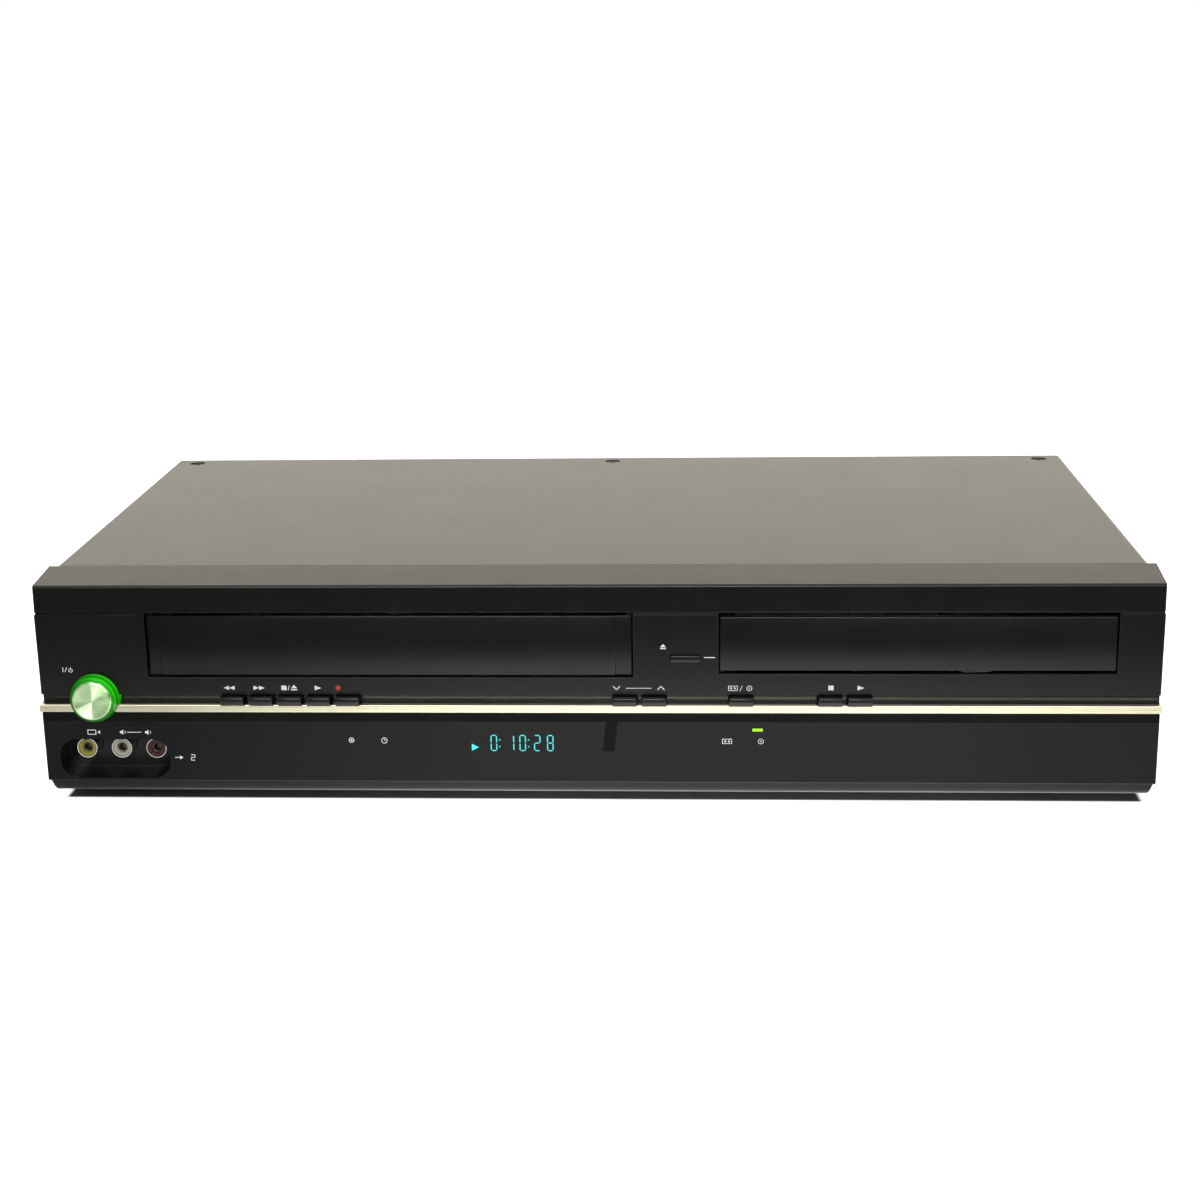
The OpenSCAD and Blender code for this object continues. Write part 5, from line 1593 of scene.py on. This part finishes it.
@dataclass
class CadParts:
    """The CAD nodes that stay as they are, with a finish and softened edges."""

    soft: dict[str, float] = field(default_factory=lambda: {
        "trim_strip": 0.12, "case_screws": 0.12, "turntable": 0.25})
    facets: int = 2
    sharp: float = 40.0
    weld: float = 0.002

    def dress(self) -> int:
        """Gives every CAD node its slot's finish.

        Returns:
            How many nodes were dressed.
        """
        count = 0
        for name, node in frame["nodes"].items():
            for place in node.material_slots:
                finish = SLOT_FINISHES.get(place.material.name.split(".")[0])
                if name == "button_board":
                    finish = KEYBOARD
                if finish is not None:
                    place.material = PALETTE.get(finish)
                    count += 1
        return count

    def soften(self) -> None:
        """Joins the loose triangles of some nodes and rounds their edges."""
        for name, width in self.soft.items():
            node = frame["nodes"][name]
            weld = node.modifiers.new("weld", "WELD")
            weld.merge_threshold = self.weld * MM
            bevel = node.modifiers.new("bevel", "BEVEL")
            bevel.width = width * MM
            bevel.segments = self.facets
            bevel.limit_method = "ANGLE"
            bevel.angle_limit = math.radians(self.sharp)
            bevel.use_clamp_overlap = True

    def build(self) -> list[bpy.types.Object]:
        """Dresses and softens the nodes.

        Returns:
            No piece, since the nodes stay the frame's own.
        """
        LOG.info("%d slots dressed", self.dress())
        self.soften()
        return []


# ---- the room ----


@dataclass
class Camera:
    """The camera where the photograph was taken from."""

    at: Triple = (0.04072, -0.89185, 0.30376)
    yaw: float = 3.744
    pitch: float = -14.749
    roll: float = 1.097
    sensor: float = 36.0
    lens: float = 62.68
    shift: Pair = (0.0298, -0.02374)
    nearest: float = 0.05

    def build(self) -> bpy.types.Object:
        """Places the camera and makes it the scene's.

        Returns:
            The camera.
        """
        data = bpy.data.cameras.new("camera")
        data.sensor_width = self.sensor
        data.lens = self.lens
        data.shift_x, data.shift_y = self.shift
        data.clip_start = self.nearest
        made = show("camera", data)
        turn = (Matrix.Rotation(math.radians(self.yaw), 4, "Z")
                @ Matrix.Rotation(math.radians(self.pitch), 4, "X")
                @ Matrix.Rotation(math.radians(self.roll), 4, "Y")
                @ Matrix.Rotation(math.radians(90.0), 4, "X"))
        made.matrix_world = Matrix.Translation(self.at) @ turn
        bpy.context.scene.camera = made
        return made


@dataclass
class Lamp:
    """A rectangular soft lamp."""

    name: str
    at: Triple
    aim: Triple
    size: Pair
    power: float

    def build(self) -> bpy.types.Object:
        """Places the lamp.

        Returns:
            The lamp.
        """
        data = bpy.data.lights.new(self.name, "AREA")
        data.shape = "RECTANGLE"
        data.size, data.size_y = self.size
        data.energy = self.power
        made = show(self.name, data)
        turn = (Vector(self.aim) - Vector(self.at)).to_track_quat("-Z", "Y")
        made.matrix_world = Matrix.Translation(self.at) @ turn.to_matrix().to_4x4()
        return made


@dataclass
class Studio:
    """The pale floor with a painted shadow and painted reflections, the white backdrop with a painted
    reflection, and the soft lamps.
    """

    floor_half: float = 6.0
    floor_colour: Colour = (0.80, 0.80, 0.80)
    # Painted shadow: the floor's colour is dark over this rectangle under the object, with a hard
    # edge.
    painted_shadow_colour: Colour = (0.05, 0.05, 0.05)
    painted_shadow_half: Pair = (0.216, 0.100)
    painted_shadow_edge: float = 0.002
    lift_near: float = 0.8
    lift_far: float = 0.75
    far: Pair = (0.1, 0.9)
    # A painted dark band on the floor in front, seen only in reflections.
    mirrored_dark_edge: Pair = (-0.29, -0.235)
    mirrored_dark_level: float = 0.10
    # A painted pool of light on the floor, seen only in reflections, brightest across the middle.
    painted_pool: float = 1.4
    painted_pool_left: Pair = (-0.20, -0.04)
    painted_pool_right: Pair = (0.13, 0.26)
    painted_pool_end: float = 0.4
    backdrop_y: float = 1.5
    backdrop_half: Pair = (3.0, 1.5)
    # Painted reflection: the backdrop's warm tint and its brightness by height are seen only in
    # reflections.
    mirrored_warm: Colour = (1.0, 0.94, 0.81)
    mirrored_shine_heights: Pair = (0.50, 0.90)
    mirrored_shine: Pair = (1.2, 0.54)
    around_glossy: float = 0.22
    around: float = 0.42
    lamps: tuple[Lamp, ...] = (
        Lamp("lamp_above", (-0.1, -0.2, 1.7), (0.0, 0.0, 0.0), (1.8, 1.4), 15.0),
        Lamp("lamp_front", (-0.18, -1.55, 0.80), (-0.1, -0.15, 0.05), (0.8, 0.35), 16.0),
        Lamp("lamp_side", (0.52, -1.45, 0.53), (-0.196, -0.126, 0.05), (1.0, 0.3), 8.0))

    def flat(self, name: str, half: Pair, matrix: Matrix,
             material: bpy.types.Material) -> bpy.types.Object:
        """Adds a flat part of the room.

        Args:
            name: Its name.
            half: Half its two sides.
            matrix: Its place, put into the mesh.
            material: Its material.

        Returns:
            The flat part.
        """
        shape = bmesh.new()
        bmesh.ops.create_grid(shape, x_segments=1, y_segments=1, size=1.0)
        bmesh.ops.transform(shape, verts=shape.verts,
                            matrix=matrix @ Matrix.Diagonal((*half, 1.0, 1.0)))
        made = show_mesh(name, shape, material)
        return made

    def away(self, wiring: Wiring) -> bpy.types.NodeSocket:
        """How far a place on the floor lies outside the painted shadow's rectangle.

        Args:
            wiring: The floor's material under construction.

        Returns:
            The distance's output, in metres.
        """
        sides = [wiring.maths("MAXIMUM", wiring.maths("SUBTRACT", wiring.maths(
            "ABSOLUTE", wiring.axis(axis)), half), 0.0)
            for axis, half in zip("XY", self.painted_shadow_half)]
        squares = [wiring.maths("MULTIPLY", side, side) for side in sides]
        return wiring.maths("SQRT", wiring.maths("ADD", *squares))

    def floor(self) -> bpy.types.Object:
        """The floor: matt paper, with a shadow painted dark under the object and white away from it.

        Returns:
            The floor.
        """
        wiring = Wiring("floor_paper")
        path = wiring.add("ShaderNodeLightPath").outputs
        away = self.away(wiring)
        # The painted shadow: the dark colour inside the rectangle, the pale one outside it.
        clear = wiring.span(away, (0.0, self.painted_shadow_edge), (0.0, 1.0))
        matt = wiring.add("ShaderNodeBsdfDiffuse", {
            "Color": wiring.mixed(clear, self.painted_shadow_colour, self.floor_colour)})
        # Seen only by the camera: white away from the object, held off over the painted shadow.
        lift = wiring.maths("ADD", wiring.maths("MULTIPLY", clear, self.lift_near),
                            wiring.span(away, self.far, (0.0, self.lift_far)))
        glow = wiring.add("ShaderNodeEmission", {
            "Strength": wiring.maths("MULTIPLY", path["Is Camera Ray"], lift)})
        paper = wiring.add("ShaderNodeAddShader", {0: matt.outputs[0], 1: glow.outputs[0]})
        # Painted pool of light, seen only by glossy rays, for the strip and the window to mirror.
        painted_pool = wiring.maths(
            "MULTIPLY", wiring.span(wiring.axis("X"), self.painted_pool_left, (0.0, self.painted_pool)),
            wiring.span(wiring.axis("X"), self.painted_pool_right, (1.0, self.painted_pool_end)))
        lit = wiring.add("ShaderNodeEmission", {
            "Strength": wiring.maths("MULTIPLY", path["Is Glossy Ray"], painted_pool)})
        paper = wiring.add("ShaderNodeAddShader", {0: paper.outputs[0], 1: lit.outputs[0]})
        # Painted dark reflection: glossy rays see the floor in front as dim.
        dim = wiring.add("ShaderNodeEmission", {"Strength": self.mirrored_dark_level})
        past = wiring.span(wiring.axis("Y"), self.mirrored_dark_edge, (1.0, 0.0))
        both = wiring.add("ShaderNodeMixShader", {
            0: wiring.maths("MULTIPLY", path["Is Glossy Ray"], past),
            1: paper.outputs[0], 2: dim.outputs[0]})
        wiring.add("ShaderNodeOutputMaterial", {"Surface": both.outputs[0]})
        return self.flat("floor", (self.floor_half,) * 2, Matrix.Identity(4), wiring.material)

    def backdrop(self) -> bpy.types.Object:
        """The backdrop: plain white for the camera, and a painted warm reflection, brighter low down,
        that the top of the object mirrors.

        Returns:
            The backdrop.
        """
        wiring = Wiring("backdrop_paper")
        path = wiring.add("ShaderNodeLightPath").outputs
        plain = wiring.maths("MAXIMUM", path["Is Camera Ray"], path["Is Transmission Ray"])
        level = wiring.span(wiring.axis("Z"), self.mirrored_shine_heights, self.mirrored_shine)
        mirrored = wiring.maths("MULTIPLY", path["Is Glossy Ray"], level)
        glow = wiring.add("ShaderNodeEmission", {
            "Color": wiring.mixed(plain, self.mirrored_warm, (1.0, 1.0, 1.0)),
            "Strength": wiring.maths("MAXIMUM", plain, mirrored)})
        wiring.add("ShaderNodeOutputMaterial", {"Surface": glow.outputs[0]})
        place = Matrix.Translation((0.0, self.backdrop_y, self.backdrop_half[1] - MM))
        return self.flat("backdrop", self.backdrop_half,
                         place @ Matrix.Rotation(math.radians(90), 4, "X"), wiring.material)

    def world(self) -> None:
        """White surroundings for the camera, and a plain level as light."""
        world = bpy.data.worlds.new("surround")
        world.use_nodes = True
        tree = world.node_tree
        tree.nodes.clear()
        path, shine, seen, back, out = (tree.nodes.new("ShaderNode" + kind) for kind in (
            "LightPath", "MapRange", "Math", "Background", "OutputWorld"))
        shine.inputs["To Min"].default_value = self.around
        shine.inputs["To Max"].default_value = self.around_glossy
        seen.operation = "MAXIMUM"
        back.inputs["Color"].default_value = (1.0, 1.0, 1.0, 1.0)
        for source, target in ((path.outputs["Is Glossy Ray"], shine.inputs["Value"]),
                               (shine.outputs[0], seen.inputs[0]),
                               (path.outputs["Is Camera Ray"], seen.inputs[1]),
                               (seen.outputs[0], back.inputs["Strength"]),
                               (back.outputs[0], out.inputs["Surface"])):
            tree.links.new(source, target)
        bpy.context.scene.world = world

    def build(self) -> None:
        """Builds the room and its light."""
        self.floor()
        self.backdrop()
        self.world()
        for lamp in self.lamps:
            lamp.build()
        bpy.context.scene.view_settings.view_transform = "Standard"


def main() -> None:
    """Builds the room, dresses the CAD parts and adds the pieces."""
    logging.basicConfig(level=logging.INFO, format="%(name)s: %(message)s")
    Camera().build()
    Studio().build()
    for part in (CadParts(), PowerButton(), Keys(), Flap(), DrawerFront(), FrontSockets(),
                 RearSockets(), AerialSockets(), Feet(), Readout(), Signs()):
        for made in part.build():
            LOG.info("%s: %s, %d faces", type(part).__name__, made.name, len(made.data.polygons))


if __name__ == "__main__":
    main()
